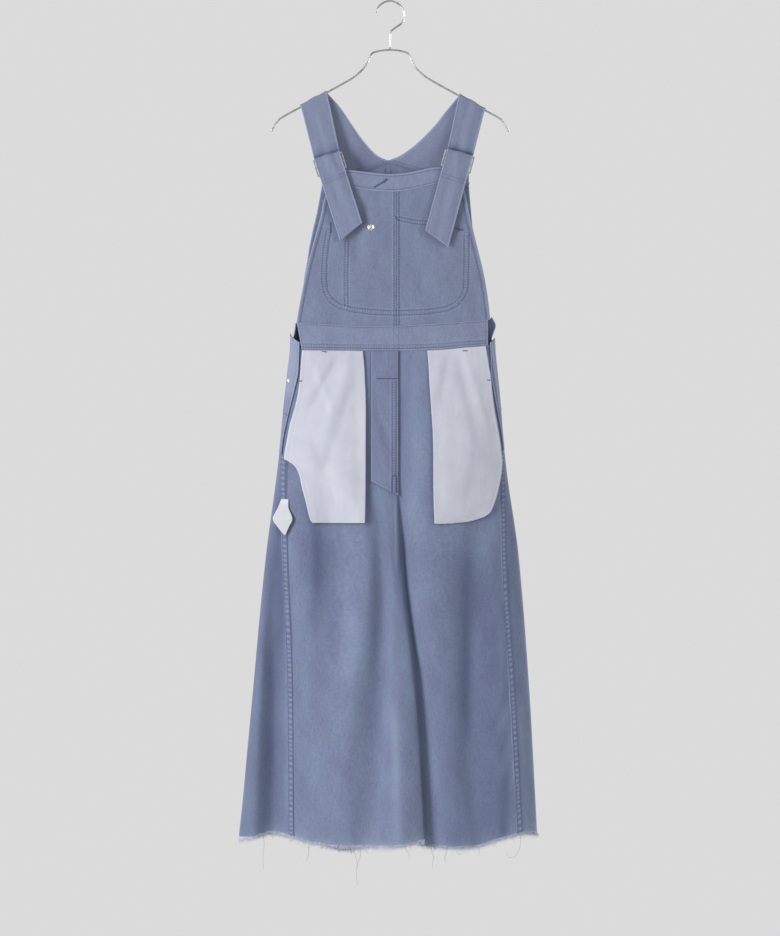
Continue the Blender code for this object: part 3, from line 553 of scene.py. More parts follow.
class Finish(Enum):
    """Every finish of the garment and its hanger."""

    BODY_TWILL = GarmentDyedTwill("garment_dyed_twill", "#7C8CA7", "#747998")
    BIB_TWILL = GarmentDyedTwill("garment_dyed_twill_bib", "#808CA6", "#757A97")
    BAND_TWILL = GarmentDyedTwill("garment_dyed_twill_bands", "#8893AD", "#7D829F")
    FLY_TWILL = GarmentDyedTwill("garment_dyed_twill_fly", "#7E89A7", "#747896")
    POCKET_COTTON = PlainCotton("bleached_cotton_pocketing", "#D2D4DF", "#C6C9D8", 0.85, 0.6)
    LABEL_SATIN = PlainCotton("satin_care_tape", "#E6E8EE", "#DADCE4", 0.45, 0.3)
    THREAD = SewingThread("dyed_sewing_thread", "#68719A")
    DARK_THREAD = SewingThread("dyed_bartack_thread", "#555887")
    FRAYED_YARN = SewingThread("frayed_cotton_yarn", "#D9DEEB")
    LOOSE_YARN = SewingThread("loose_cotton_yarn", "#98A0BC")
    STEEL_WIRE = PolishedMetal("polished_steel_wire", "#D2D2CF", 0.4)
    NICKEL = PolishedMetal("nickel_plated_steel", "#F2F1EE", 0.36, 3.0)

    @property
    def slot(self) -> str:
        """The record's material slot that the finish belongs to.

        Returns:
            The slot's name.
        """
        slots = {Finish.POCKET_COTTON: "pocketing", Finish.LABEL_SATIN: "label",
                 Finish.FRAYED_YARN: "fray", Finish.LOOSE_YARN: "fray",
                 Finish.STEEL_WIRE: "steel_wire",
                 Finish.NICKEL: "nickel"}
        return slots.get(self, "twill")


# Objects


def smooth_mesh(work: bmesh.types.BMesh, name: str) -> bpy.types.Mesh:
    """A mesh, shaded smooth, from a working mesh that is freed.

    Args:
        work: The working mesh.
        name: The mesh's name.

    Returns:
        The mesh.
    """
    mesh = bpy.data.meshes.new(name)
    work.to_mesh(mesh)
    work.free()
    mesh.shade_smooth()
    return mesh


@dataclass(frozen=True)
class Cut:
    """What a sheet was cut to, measured on its middle surface, in metres and square metres."""

    width: float
    length: float
    area: float


Sheet = tuple[bpy.types.Object, Cut]

def place_piece(name: str, mesh: bpy.types.Mesh, finish: Finish,
                nodes: Sequence[str] = ()) -> bpy.types.Object:
    """Put a finished mesh in the scene as a piece of the garment.

    Args:
        name: The piece's name.
        mesh: Its mesh, in the garment's frame.
        finish: Its finish.
        nodes: The CAD nodes that it stands for.

    Returns:
        The piece.
    """
    piece = bpy.data.objects.new(name, mesh)
    bpy.context.scene.collection.objects.link(piece)
    mesh.materials.append(finish.value.material())
    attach(piece, BODY)
    if nodes:
        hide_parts(*nodes)
    LOG.info("%s: %d faces", name, len(mesh.polygons))
    return piece


def no_relief(s: Array, t: Array, point: Array) -> Raised:
    """A surface with nothing raised on it, and no wear or painted shade."""
    return np.zeros(s.shape), np.zeros(s.shape)


def make_sheet(name: str, form: Form, thickness: float, finish: Finish, nodes: Sequence[str],
               relief: Relief = no_relief) -> Sheet:
    """A sheet of cloth: a grid moved on to its form, raised by its relief, and given a wall.

    Args:
        name: The piece's name.
        form: Its middle surface.
        thickness: Of the cloth, in mm.
        finish: Its finish.
        nodes: The CAD nodes that it stands for.
        relief: How far the cloth is raised, in mm, and its wear with painted light and shade, from
            -1 to 1.

    Returns:
        The piece, and what it was cut to.
    """
    work = bmesh.new()
    work.loops.layers.uv.new(CLOTH_UV)
    bmesh.ops.create_grid(work, x_segments=form.columns, y_segments=form.rows, size=0.5,
                          calc_uvs=True)
    mesh = smooth_mesh(work, name)
    co = np.zeros(len(mesh.vertices) * 3)
    mesh.vertices.foreach_get("co", co)
    flat = co.reshape(-1, 3)
    s, t = flat[:, 0] + 0.5, 0.5 - flat[:, 1]
    point = form.place(s, t)
    mesh.vertices.foreach_set("co", (point * MM).ravel())
    mesh.update()
    normal = np.zeros(len(co))
    mesh.vertices.foreach_get("normal", normal)
    lift, wear_and_shade = relief(s, t, point)
    point = point + normal.reshape(-1, 3) * lift[:, None]
    mesh.vertices.foreach_set("co", (point * MM).ravel())
    mesh.update()
    mesh.attributes.new(WEAR_AND_SHADE, "FLOAT", "POINT").data.foreach_set("value", np.clip(wear_and_shade, -1, 1))
    grid = point.reshape(form.rows + 1, form.columns + 1, 3) * MM
    width = float(np.linalg.norm(np.diff(grid, axis=1), axis=2).sum(axis=1).max())
    length = float(np.linalg.norm(np.diff(grid, axis=0), axis=2).sum(axis=0).max())
    area = sum(face.area for face in mesh.polygons)
    uv = np.zeros(len(mesh.loops) * 2)
    layer = mesh.uv_layers[CLOTH_UV].uv
    layer.foreach_get("vector", uv)
    layer.foreach_set("vector", (uv.reshape(-1, 2) * (width, length)).ravel())
    piece = place_piece(name, mesh, finish, nodes)
    wall = piece.modifiers.new("wall", "SOLIDIFY")
    wall.thickness = thickness * MM
    wall.offset = 0.0
    return piece, Cut(width, length, area)


class Face:
    """The outer face of built pieces, seen from the front or from the back."""

    def __init__(self, pieces: Sequence[bpy.types.Object], from_front: bool = True) -> None:
        """Read the pieces.

        Args:
            pieces: What is looked at.
            from_front: Which side it is looked at from.
        """
        bpy.context.view_layer.update()
        depsgraph = bpy.context.evaluated_depsgraph_get()
        self.trees = [BVHTree.FromObject(piece, depsgraph) for piece in pieces]
        self.way = 1.0 if from_front else -1.0

    def met(self, x: float, z: float) -> list[tuple]:
        """What rays beside x and z meet on the pieces.

        Args:
            x: Across, in mm.
            z: Up, in mm.

        Returns:
            Each hit, as the ray cast tells it.
        """
        hits = []
        for aside in (-1.2, 0.0, 1.2):
            start = Vector(((x + aside) * MM, -self.way, z * MM))
            hits += [tree.ray_cast(start, Vector((0.0, self.way, 0.0))) for tree in self.trees]
        return [hit for hit in hits if hit[0] is not None]

    def at(self, x: float, z: float) -> tuple[Array, Array]:
        """The point and outward direction of the nearest cloth at x and z, in mm.

        Args:
            x: Across, in mm.
            z: Up, in mm.

        Returns:
            The point in mm, and the direction.
        """
        point, normal, _, _ = min(self.met(x, z), key=lambda hit: hit[0].y * self.way)
        outward = np.array(normal) * (-self.way * math.copysign(1.0, normal.y))
        return np.array([x, point.y / MM, z]), outward

    def trace(self, path: Sequence[Sequence[float]], step: float = 1.0) -> tuple[Array, Array]:
        """Lay a drawn path on the cloth.

        Args:
            path: Corners of the path, as x and z in mm.
            step: Distance between the laid points.

        Returns:
            The points and the outward directions there.
        """
        marks = evenly(np.array(path, dtype=float), step)
        found = [self.at(x, z) for x, z in marks if self.met(x, z)]
        points = np.array([point for point, _ in found])
        normals = np.array([normal for _, normal in found])
        for _ in range(2):
            middle = (points[:-2, 1] + 2 * points[1:-1, 1] + points[2:, 1]) / 4
            points[1:-1, 1] = middle
            normals[1:-1] = normals[:-2] + 2 * normals[1:-1] + normals[2:]
            normals = unit(normals)
        return points, normals


class Repeats:
    """Many moved copies of one small shape, joined in one mesh."""

    def __init__(self, shape: bmesh.types.BMesh) -> None:
        """Keep the shape that is repeated; it is freed.

        Args:
            shape: The shape.
        """
        self.shape = bpy.data.meshes.new("shape")
        shape.to_mesh(self.shape)
        shape.free()
        coordinates = np.zeros(len(self.shape.vertices) * 3)
        self.shape.vertices.foreach_get("co", coordinates)
        self.corners = coordinates.reshape(-1, 3)
        self.work = bmesh.new()
        self.count = 0

    def add(self, corners: Array) -> None:
        """Add one copy whose corners are at these places, in mm.

        Args:
            corners: Where the copy's corners are.
        """
        self.shape.vertices.foreach_set("co", (corners * MM).ravel())
        self.work.from_mesh(self.shape)
        self.count += 1

    def finish(self, name: str) -> bpy.types.Mesh:
        """Join the copies into one mesh.

        Args:
            name: The mesh's name.

        Returns:
            The mesh.
        """
        bmesh.ops.recalc_face_normals(self.work, faces=self.work.faces)
        bpy.data.meshes.remove(self.shape)
        return smooth_mesh(self.work, name)


class Sewing:
    """Stitches of one thread, joined in one piece."""

    LENGTH = 2.7
    PITCH = 3.3
    RADIUS = 0.42
    SINK = 0.1

    def __init__(self) -> None:
        """Start with one stitch: a grain of thread, narrow at both ends."""
        shape = bmesh.new()
        bmesh.ops.create_uvsphere(shape, u_segments=6, v_segments=4, radius=1.0)
        self.copies = Repeats(shape)

    def stitch(self, centre: Array, along: Array, normal: Array, length: float,
               radius: float = RADIUS) -> None:
        """Lay one stitch on the cloth.

        Args:
            centre: Its middle, on the cloth's face.
            along: Its direction.
            normal: The cloth's outward direction.
            length: Its length.
            radius: Half of its width.
        """
        along = unit(along)
        side = unit(np.cross(normal, along))
        up = np.cross(along, side)
        local = self.copies.corners * (radius, radius * 0.8, length / 2)
        turned = local[:, :1] * side + local[:, 1:2] * up + local[:, 2:] * along
        self.copies.add(centre + up * (radius * 0.8 - self.SINK) + turned)

    def row(self, points: Array, normals: Array, offset: float = 0.0) -> None:
        """A row of stitches along laid points.

        Args:
            points: The row's path.
            normals: Outward directions along it.
            offset: How far to its left, seen from outside, the row stands.
        """
        along = unit(np.gradient(points, axis=0))
        side = unit(np.cross(normals, along))
        path = points + side * offset
        lengths = lengths_along(path)
        marks = np.arange(self.PITCH / 2, lengths[-1], self.PITCH)
        for one in zip(*(read_along(marks, lengths, values) for values in (path, along, normals))):
            self.stitch(*one, self.LENGTH)

    def bartack(self, face: Face, start: tuple[float, float], end: tuple[float, float],
                width: float = 2.6, pitch: float = 0.75) -> None:
        """A close zigzag of thread from one place to another.

        Args:
            face: The cloth that it is on.
            start: One end, as x and z.
            end: The other end.
            width: How wide the zigzag is.
            pitch: Distance between its stitches.
        """
        points, normals = face.trace([start, end], pitch)
        along = unit(np.gradient(points, axis=0))
        side = unit(np.cross(normals, along))
        for k, (point, normal) in enumerate(zip(points, normals)):
            lean = along[k] * (0.35 if k % 2 else -0.35)
            self.stitch(point, side[k] + lean, normal, width, 0.45)

    def finish(self, name: str, finish: Finish) -> bpy.types.Object:
        """Close the sewing as one piece."""
        LOG.info("%s: %d stitches", name, self.copies.count)
        return place_piece(name, self.copies.finish(name), finish)


def wire_stand(point: Array, way: Array, radius: float) -> Matrix:
    """The matrix that puts a flat circle of radius 1 across a wire at a point of its path.

    Args:
        point: The point, in mm.
        way: The wire's direction there.
        radius: Its radius, in mm.

    Returns:
        The matrix, in metres.
    """
    side = unit(np.cross((0.0, 1.0, 0.0), way))
    up = np.cross(way, side)
    columns = np.stack([side * radius, up * radius, way, point], axis=1) * MM
    return Matrix([*columns.tolist(), [0.0, 0.0, 0.0, 1.0]])


def swept_wire(name: str, path: Array, radius: float, sides: int = 14,
               tip: float = 1.0) -> bpy.types.Mesh:
    """A round wire: a circle extruded from point to point of a path, and closed at its ends.

    Args:
        name: The mesh's name.
        path: Points in mm.
        radius: Of the wire, in mm.
        sides: How many sides the circle has.
        tip: The last point's radius as a share of the first one's.

    Returns:
        The mesh.
    """
    work = bmesh.new()
    ways = unit(np.gradient(path, axis=0))
    sizes = radius * np.linspace(1.0, tip, len(path))
    stands = [wire_stand(*place) for place in zip(path, ways, sizes)]
    bmesh.ops.create_circle(work, segments=sides, radius=1.0, matrix=stands[0])
    edges = list(work.edges)
    for before, after in zip(stands, stands[1:]):
        grown = bmesh.ops.extrude_edge_only(work, edges=edges)["geom"]
        ring = [item for item in grown if isinstance(item, bmesh.types.BMVert)]
        edges = [item for item in grown if isinstance(item, bmesh.types.BMEdge)
                 and all(vert in ring for vert in item.verts)]
        bmesh.ops.transform(work, matrix=after @ before.inverted(), verts=ring)
    bmesh.ops.holes_fill(work, edges=[edge for edge in work.edges if edge.is_boundary],
                         sides=sides)
    bmesh.ops.recalc_face_normals(work, faces=work.faces)
    return smooth_mesh(work, name)


def turned_metal(name: str, profile: Sequence[tuple[float, float]], centre: Array,
                 outward: Array) -> bpy.types.Mesh:
    """A round metal button, spun from its profile and set on the cloth.

    Args:
        name: The mesh's name.
        profile: Distances from the axis and heights, in mm, from the middle of the face outwards.
        centre: Where its back lies.
        outward: The direction that it faces.

    Returns:
        The mesh.
    """
    work = bmesh.new()
    verts = [work.verts.new((out * MM, 0.0, height * MM)) for out, height in profile]
    edges = [work.edges.new(pair) for pair in zip(verts, verts[1:])]
    bmesh.ops.spin(work, geom=verts + edges, cent=(0, 0, 0), axis=(0, 0, 1), angle=math.tau,
                   steps=28, use_merge=True)
    bmesh.ops.remove_doubles(work, verts=work.verts, dist=1e-6)
    bmesh.ops.recalc_face_normals(work, faces=work.faces)
    turn = Vector(outward).to_track_quat("Z", "Y").to_matrix().to_4x4()
    bmesh.ops.transform(work, matrix=Matrix.Translation(Vector(centre) * MM) @ turn,
                        verts=work.verts)
    mesh = smooth_mesh(work, name)
    mesh.set_sharp_from_angle(angle=math.radians(50))
    return mesh


# Sewn relief


def together(*pairs: Raised) -> Raised:
    """Several lifts, and several wears with their painted light and shade, added up."""
    return sum(lift for lift, _ in pairs), sum(wear_and_shade for _, wear_and_shade in pairs)


def pucker(along: Array, pitch: float = 4.4) -> Array:
    """Even ticks of cloth drawn up between stitches, a little coarser than in life so they show."""
    return np.sin(math.tau * along / pitch) * (0.75 + 0.25 * wander(along / 37.0, 1.0))


def stitched_edge(distance: Array, along: Array, row: float = 3.4,
                  height: float = 0.35) -> Raised:
    """A turned and topstitched edge: full at the fold, drawn in along the row of stitches.

    Args:
        distance: From the edge, in mm.
        along: Along the edge, in mm.
        row: How far in the stitches stand.
        height: How far the edge stands up.

    Returns:
        The lift, and the wear with its painted light and shade.
    """
    full = hump(distance - row * 0.4, row * 0.45)
    dip = hump(distance - row, 0.9)
    tick = pucker(along)
    lift = height * full * (0.9 + 0.3 * tick) - height * 1.1 * dip
    # Paler along the fold, darker along the sunk row of stitches, and painted highlight on the
    # puckers where they rise, painted shade where they sink.
    wear_and_shade = 1.1 * hump(distance, 1.5) + 0.22 * full * tick - dip * (0.42 - 0.3 * tick)
    return lift, wear_and_shade


def felled_seam(offset: Array, along: Array, width: float, height: float = 0.7,
                pitch: float = 4.8) -> Raised:
    """A felled seam: a raised band between two rows of stitches, puckered across.

    Args:
        offset: From the seam's middle, in mm.
        along: Along the seam, in mm.
        width: Of the band.
        height: How far it stands up.
        pitch: Distance between puckers.

    Returns:
        The lift, and the wear with its painted light and shade.
    """
    distance = np.abs(offset)
    band = smooth_step((width / 2 + 0.8 - distance) / 1.6)
    rows = hump(distance - width * 0.36, 0.8)
    tick = pucker(along + 0.3 * offset, pitch)
    lift = height * band * (0.8 + 0.2 * tick) - 0.45 * rows
    edge = hump(distance - width / 2, 0.8)
    # Painted highlight on the puckers where they rise and painted shade where they sink, darker
    # along the rows of stitches, paler at the band's edges.
    wear_and_shade = band * (0.3 * tick - 0.05) - rows * (0.55 - 0.35 * tick) + 0.35 * edge
    return lift, wear_and_shade


def quilted_line(distance: Array, along: Array, gap: float = 8.0,
                 height: float = 0.4) -> Raised:
    """Two rows of stitches through several layers, with the cloth puffed and ticked between them.

    Args:
        distance: From the outer row's line, in mm.
        along: Along it.
        gap: Between the rows.
        height: How far the cloth puffs up.

    Returns:
        The lift, and the wear with its painted light and shade.
    """
    rows = hump(distance - gap / 2, 0.95)
    between = smooth_step((gap / 2 - distance) / 1.5)
    tick = pucker(along)
    near = hump(distance - gap / 2 - 1.9, 1.2)
    lift = height * between * (0.8 + 0.4 * tick) - 0.4 * rows
    # Painted highlight and shade on the puffed cloth's ticks between the rows, darker along the
    # rows, and paler just outside them.
    wear_and_shade = between * 0.5 * tick - rows * (0.38 - 0.35 * tick) + 0.3 * near
    return lift, wear_and_shade


@dataclass(frozen=True)
class Crease:
    """A soft trough or ridge along a line: depth is below 0 for a trough."""

    x_from: float
    z_from: float
    x_to: float
    z_to: float
    width: float
    depth: float


def crease_lift(x: Array, z: Array, creases: Sequence[Crease]) -> Array:
    """How far creases raise the cloth, fading at both ends of each.

    Args:
        x: Across, in mm.
        z: Up, in mm.
        creases: The creases.

    Returns:
        The lift, in mm.
    """
    lift = np.zeros(x.shape)
    for one in creases:
        dx, dz = one.x_to - one.x_from, one.z_to - one.z_from
        length = math.hypot(dx, dz)
        share = ((x - one.x_from) * dx + (z - one.z_from) * dz) / length**2
        away = ((x - one.x_from) * dz - (z - one.z_from) * dx) / length
        fade = smooth_step(share / 0.3 + 0.35) * smooth_step((1 - share) / 0.3 + 0.35)
        lift += one.depth * hump(away, one.width) * fade
    return lift


# Hanger


@dataclass(frozen=True)
class Hanger:
    """A plain bent-wire hanger with sloping shoulders, an arch in the middle and a hook."""

    hook_radius: float = 24.0
    tip_angle: float = 169.0
    leave_angle: float = -37.0
    neck_top_z: float = -50.0
    arch_top_z: float = -81.6
    slope: float = 29.0
    half: tuple = ((0, -81.6), (18, -83.3), (31.5, -88.4), (38, -102), (45, -113),
                   (55, -122.5), (68, -132), (102, -151), (156, -181),
                   (184, -196.5), (192, -204), (202, -220))

    def height(self, x: float) -> float:
        """Height of the shoulders' wire at a distance from the middle."""
        return float(np.interp(abs(x), *np.array(self.half).T))

    def build(self) -> None:
        """Bend the shoulders and the hook."""
        left = [(-out, 0.0, z) for out, z in reversed(self.half[1:])]
        right = [(out, 0.0, z) for out, z in self.half]
        shoulders = swept_wire("hanger_shoulders", smooth_path(left + right, 6), WIRE_RADIUS)
        place_piece("hanger_shoulders", shoulders, Finish.STEEL_WIRE, ["hanger_frame"])
        centre_z = WIRE_RADIUS - self.hook_radius
        angles = np.radians(np.linspace(self.tip_angle, self.leave_angle, 44))
        hook = [(self.hook_radius * math.cos(a), 0.0, centre_z + self.hook_radius * math.sin(a))
                for a in angles]
        bottom = self.arch_top_z + WIRE_RADIUS + SEAM_GAP
        bend = [(5.5, 0.0, self.neck_top_z + 3.5), (1.2, 0.0, self.neck_top_z - 1.0),
                (0.0, 0.0, self.neck_top_z - 7.0), (0.0, 0.0, bottom)]
        path = np.concatenate([np.array(hook), smooth_path([hook[-1], *bend], 5)[1:]])
        place_piece("hanger_hook_wire", swept_wire("hanger_hook_wire", path, WIRE_RADIUS),
                    Finish.STEEL_WIRE, ["hanger_hook"])


# Straps, buckles and tabs


class Side(Enum):
    """Which shoulder, with the direction from it to the middle."""

    LEFT = 1.0
    RIGHT = -1.0


@dataclass(frozen=True)
class Strap:
    """A shoulder strap, cut in one with its half of the upper back, and its slide buckle and tab.

    A yoke row is outer x, outer z, inner x and inner z. Seen from the front, the strap goes over
    the wire, down behind the buckle, round its middle bar, over its top bar and down in front.
    """

    side: Side
    wire_outer_x: float
    wire_inner_x: float
    fold_x: float
    fold_z: float
    tilt: float
    tail_outer: float
    tail_inner: float
    yoke: tuple
    width: float = 45.0
    tick_run: float = 700.0
    end_run: float = 640.0
    bars_at: tuple = (0, 14, 27)
    bar_turn: float = 2.8
    tab_width: float = 38.0
    tab_length: float = 22.0
    tab_turn: float = 2.5

    @property
    def label(self) -> str:
        """The side's name."""
        return self.side.name.lower()

    def at(self, across: float, down: float, depth: float) -> Array:
        """A point in the buckle's frame: across from the outer side, down the strap, and depth.

        Args:
            across: From the strap's middle, towards the neck.
            down: Down the strap.
            depth: Away from the front.

        Returns:
            The point, in mm.
        """
        tilt, middle = math.radians(self.tilt), self.side.value
        x = self.fold_x + middle * (math.cos(tilt) * across + math.sin(tilt) * down)
        z = self.fold_z + math.sin(tilt) * across - math.cos(tilt) * down
        return np.array([x, BIB_TOP_Y + depth, z])

    def wraps(self) -> list[tuple[float, float]]:
        """The strap's way round the middle bar and over the top bar, as down and depth.

        Returns:
            The way's places.
        """
        top, middle = self.bars_at[:2]
        crossing = math.asin(2 * self.bar_turn / (middle - top))
        under = np.linspace(0.0, math.pi + crossing, 10)
        over = np.linspace(-crossing, math.pi, 10)
        way = [(middle + self.bar_turn * math.sin(a), self.bar_turn * math.cos(a)) for a in under]
        return way + [(top - self.bar_turn * math.sin(a), self.bar_turn * math.cos(a))
                      for a in over]

    def rows(self, hanger: Hanger) -> Array:
        """Outer and inner edge points of the strap, from the yoke to the free end.

        Args:
            hanger: What the strap goes over.

        Returns:
            Pairs of points, in mm.
        """
        half = self.width / 2
        rows = []
        turn = WIRE_RADIUS + SEAM_GAP + STRAP_CLOTH / 2 + 0.1
        for k, (outer_x, outer_z, inner_x, inner_z) in enumerate(self.yoke):
            y = YOKE_Y + (turn - YOKE_Y) * k / len(self.yoke)
            rows.append(((outer_x, y, outer_z), (inner_x, y, inner_z)))
        slope = math.radians(hanger.slope)
        up = np.array([-self.side.value * math.sin(slope), 0.0, math.cos(slope)])
        outer = np.array([self.wire_outer_x, 0.0, hanger.height(self.wire_outer_x)])
        inner = np.array([self.wire_inner_x, 0.0, hanger.height(self.wire_inner_x)])
        for angle in np.radians(np.linspace(0, 180, 9)):
            away = turn * (math.cos(angle) * np.array([0.0, 1.0, 0.0]) + math.sin(angle) * up)
            rows.append((outer + away, inner + away))
        behind = self.bar_turn + STRAP_CLOTH + SEAM_GAP
        last_outer, last_inner = rows[-1]
        next_outer, next_inner = (self.at(a, 0.0, behind) for a in (-half, half))
        for share in (0.35, 0.7, 1.0):
            rows.append((last_outer + (next_outer - last_outer) * share,
                         last_inner + (next_inner - last_inner) * share))
        rows += [tuple(self.at(a, down, depth) for a in (-half, half))
                 for down, depth in self.wraps()]
        first = self.bars_at[1]
        for share in (0.0, 0.25, 0.5, 0.75, 1.0):
            depth = -behind - 4.0 * share
            rows.append((self.at(-half, first + (self.tail_outer - first) * share, depth),
                         self.at(half, first + (self.tail_inner - first) * share, depth)))
        return np.array(rows, dtype=float)

    def relief(self, s: Array, t: Array, point: Array) -> Raised:
        """Topstitched edges and soft creases along the strap, with painted highlight and shade on
        the creases and a painted shadow above the buckle.

        Args:
            s: Share of the way across.
            t: Share of the way down.
            point: Points of the middle surface, in mm.

        Returns:
            The lift in mm, and the wear with its painted light and shade.
        """
        across = np.minimum(s, 1 - s) * self.width
        waves = wander(s * 1.3 + 0.15 * wander(t * 3, 1.0), 3.0)
        lift, wear_and_shade = stitched_edge(across, t * self.tick_run, 3.2, 0.3)
        end_lift, end_wear_and_shade = stitched_edge((1 - t) * self.end_run, s * self.width, 3.2, 0.3)
        lift += 1.1 * waves * smooth_step((0.93 - t) / 0.1)
        tilt = math.radians(self.tilt)
        down = (self.side.value * (point[:, 0] - self.fold_x) * math.sin(tilt)
                - (point[:, 2] - self.fold_z) * math.cos(tilt))
        # Painted shadow along the strap just above the buckle's top bar, where it goes behind its
        # folded tail, with softer painted shade above; only on the front.
        fold = hump(down + self.bar_turn + 2.6, 2.4) + 0.4 * hump(down + 9.0, 7.0)
        fold *= smooth_step(-point[:, 1] / 4.0)
        # The creases' waves also paint highlight on their ridges and shade in their hollows.
        return lift + end_lift, np.maximum(wear_and_shade, end_wear_and_shade) - 0.9 * fold + 0.16 * waves

    def build(self, hanger: Hanger) -> tuple[bpy.types.Object, Cut, bpy.types.Object, Cut]:
        """The strap and its tab, with the buckle in its polished finish.

        Args:
            hanger: What the strap goes over.

        Returns:
            The strap, its cut, the tab and its cut.
        """
        pairs = self.rows(hanger)
        outer, inner = pairs[:, 0], pairs[:, 1]
        columns = [outer, (outer + inner) / 2, inner]
        if self.side is Side.RIGHT:
            columns.reverse()
        form = Form.through(np.stack(columns, axis=1), 1.6, 1, 1.85)
        strap, strap_cut = make_sheet(f"strap_{self.label}_cloth", form, STRAP_CLOTH,
                                      Finish.BAND_TWILL, [f"strap_{self.label}"], self.relief)
        bar = self.bars_at[2]
        way = [(bar + self.tab_length, self.tab_turn), (bar + self.tab_length / 2, self.tab_turn)]
        way += [(bar - self.tab_turn * math.sin(a), self.tab_turn * math.cos(a))
                for a in np.linspace(0, math.pi, 8)]
        way += [(bar + self.tab_length / 2, -self.tab_turn),
                (bar + self.tab_length, -self.tab_turn)]
        half = self.tab_width / 2
        across = (half, 0.0, -half) if self.side is Side.RIGHT else (-half, 0.0, half)
        grid = np.array([[self.at(a, s, depth) for a in across] for s, depth in way])
        tab, tab_cut = make_sheet(f"strap_tab_{self.label}_cloth", Form.through(grid, 1.6, 1, 1.6),
                                  TWILL, Finish.BODY_TWILL, [f"strap_tab_{self.label}"])
        dress_node(f"ring_{self.label}", Finish.NICKEL)
        return strap, strap_cut, tab, tab_cut


def dress_node(node: str, finish: Finish) -> None:
    """Give a CAD node, whose shape is already right, its finish.

    Args:
        node: The node's name.
        finish: Its finish.
    """
    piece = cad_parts[node]
    piece.data.materials.clear()
    piece.data.materials.append(finish.value.material())


STRAPS = (
    Strap(Side.LEFT, -151.3, -107.1, -106.3, -264.4, 17.5, 143.5, 125.5,
          ((-115.6, -309.4, -3.7, -268.8), (-114.8, -285.6, -23.8, -258.4),
           (-115.6, -260.1, -45.9, -234.6), (-122.4, -231.2, -66.3, -205.7),
           (-134.3, -200.6, -85, -178.5))),
    Strap(Side.RIGHT, 161.0, 117.0, 118.5, -259.8, 15.2, 158.0, 141.0,
          ((134.3, -311.1, -3.1, -268.8), (134.3, -285.6, 20.4, -258.4),
           (134.3, -261.8, 47.6, -238), (137.7, -236.3, 74.8, -210.8),
           (147.9, -210.8, 95.2, -185.3))),
)


# Bib, waistbands and back


def front_y(x: Array | float, z: Array | float) -> Array | float:
    """Depth of the bib and the front waistband: flat at the top, a little rounded at the waist."""
    share = smooth_step((-320.0 - z) / 230.0)
    return BIB_TOP_Y + (FRONT_WAIST_Y - BIB_TOP_Y) * share + 3.0 * share * (x / 150.0) ** 2


def edge_at(table: Rows, height: Array | float) -> tuple[Array, ...]:
    """The left and right edges at heights, from rows of height, left and right."""
    heights, *edges = np.array(sorted(table)).T
    return tuple(np.interp(height, heights, edge) for edge in edges)


def side_margin(table: Rows, x: Array, z: Array) -> Array:
    """How far points are inside the nearer side edge of such a table."""
    left, right = edge_at(table, z)
    return np.minimum(x - left, right - x)


WAIST_TOP_LINE = ((-152.0, -545.7), (-51.0, -552.2), (0.0, -552.4), (85.0, -547.4),
                  (170, -541))
WAIST_LOW_LINE = ((-150.0, -591.0), (-62.0, -592.2), (14.0, -593.3), (60.0, -592.0),
                  (95, -590), (125, -587), (166, -583.5))


def waist_top(x: Array | float) -> Array | float:
    """Height of the seam between the bib and the waistband."""
    return np.interp(x, *np.array(WAIST_TOP_LINE).T)


def waist_low(x: Array | float) -> Array | float:
    """Height of the seam between the front waistband and the skirt."""
    return np.interp(x, *np.array(WAIST_LOW_LINE).T)


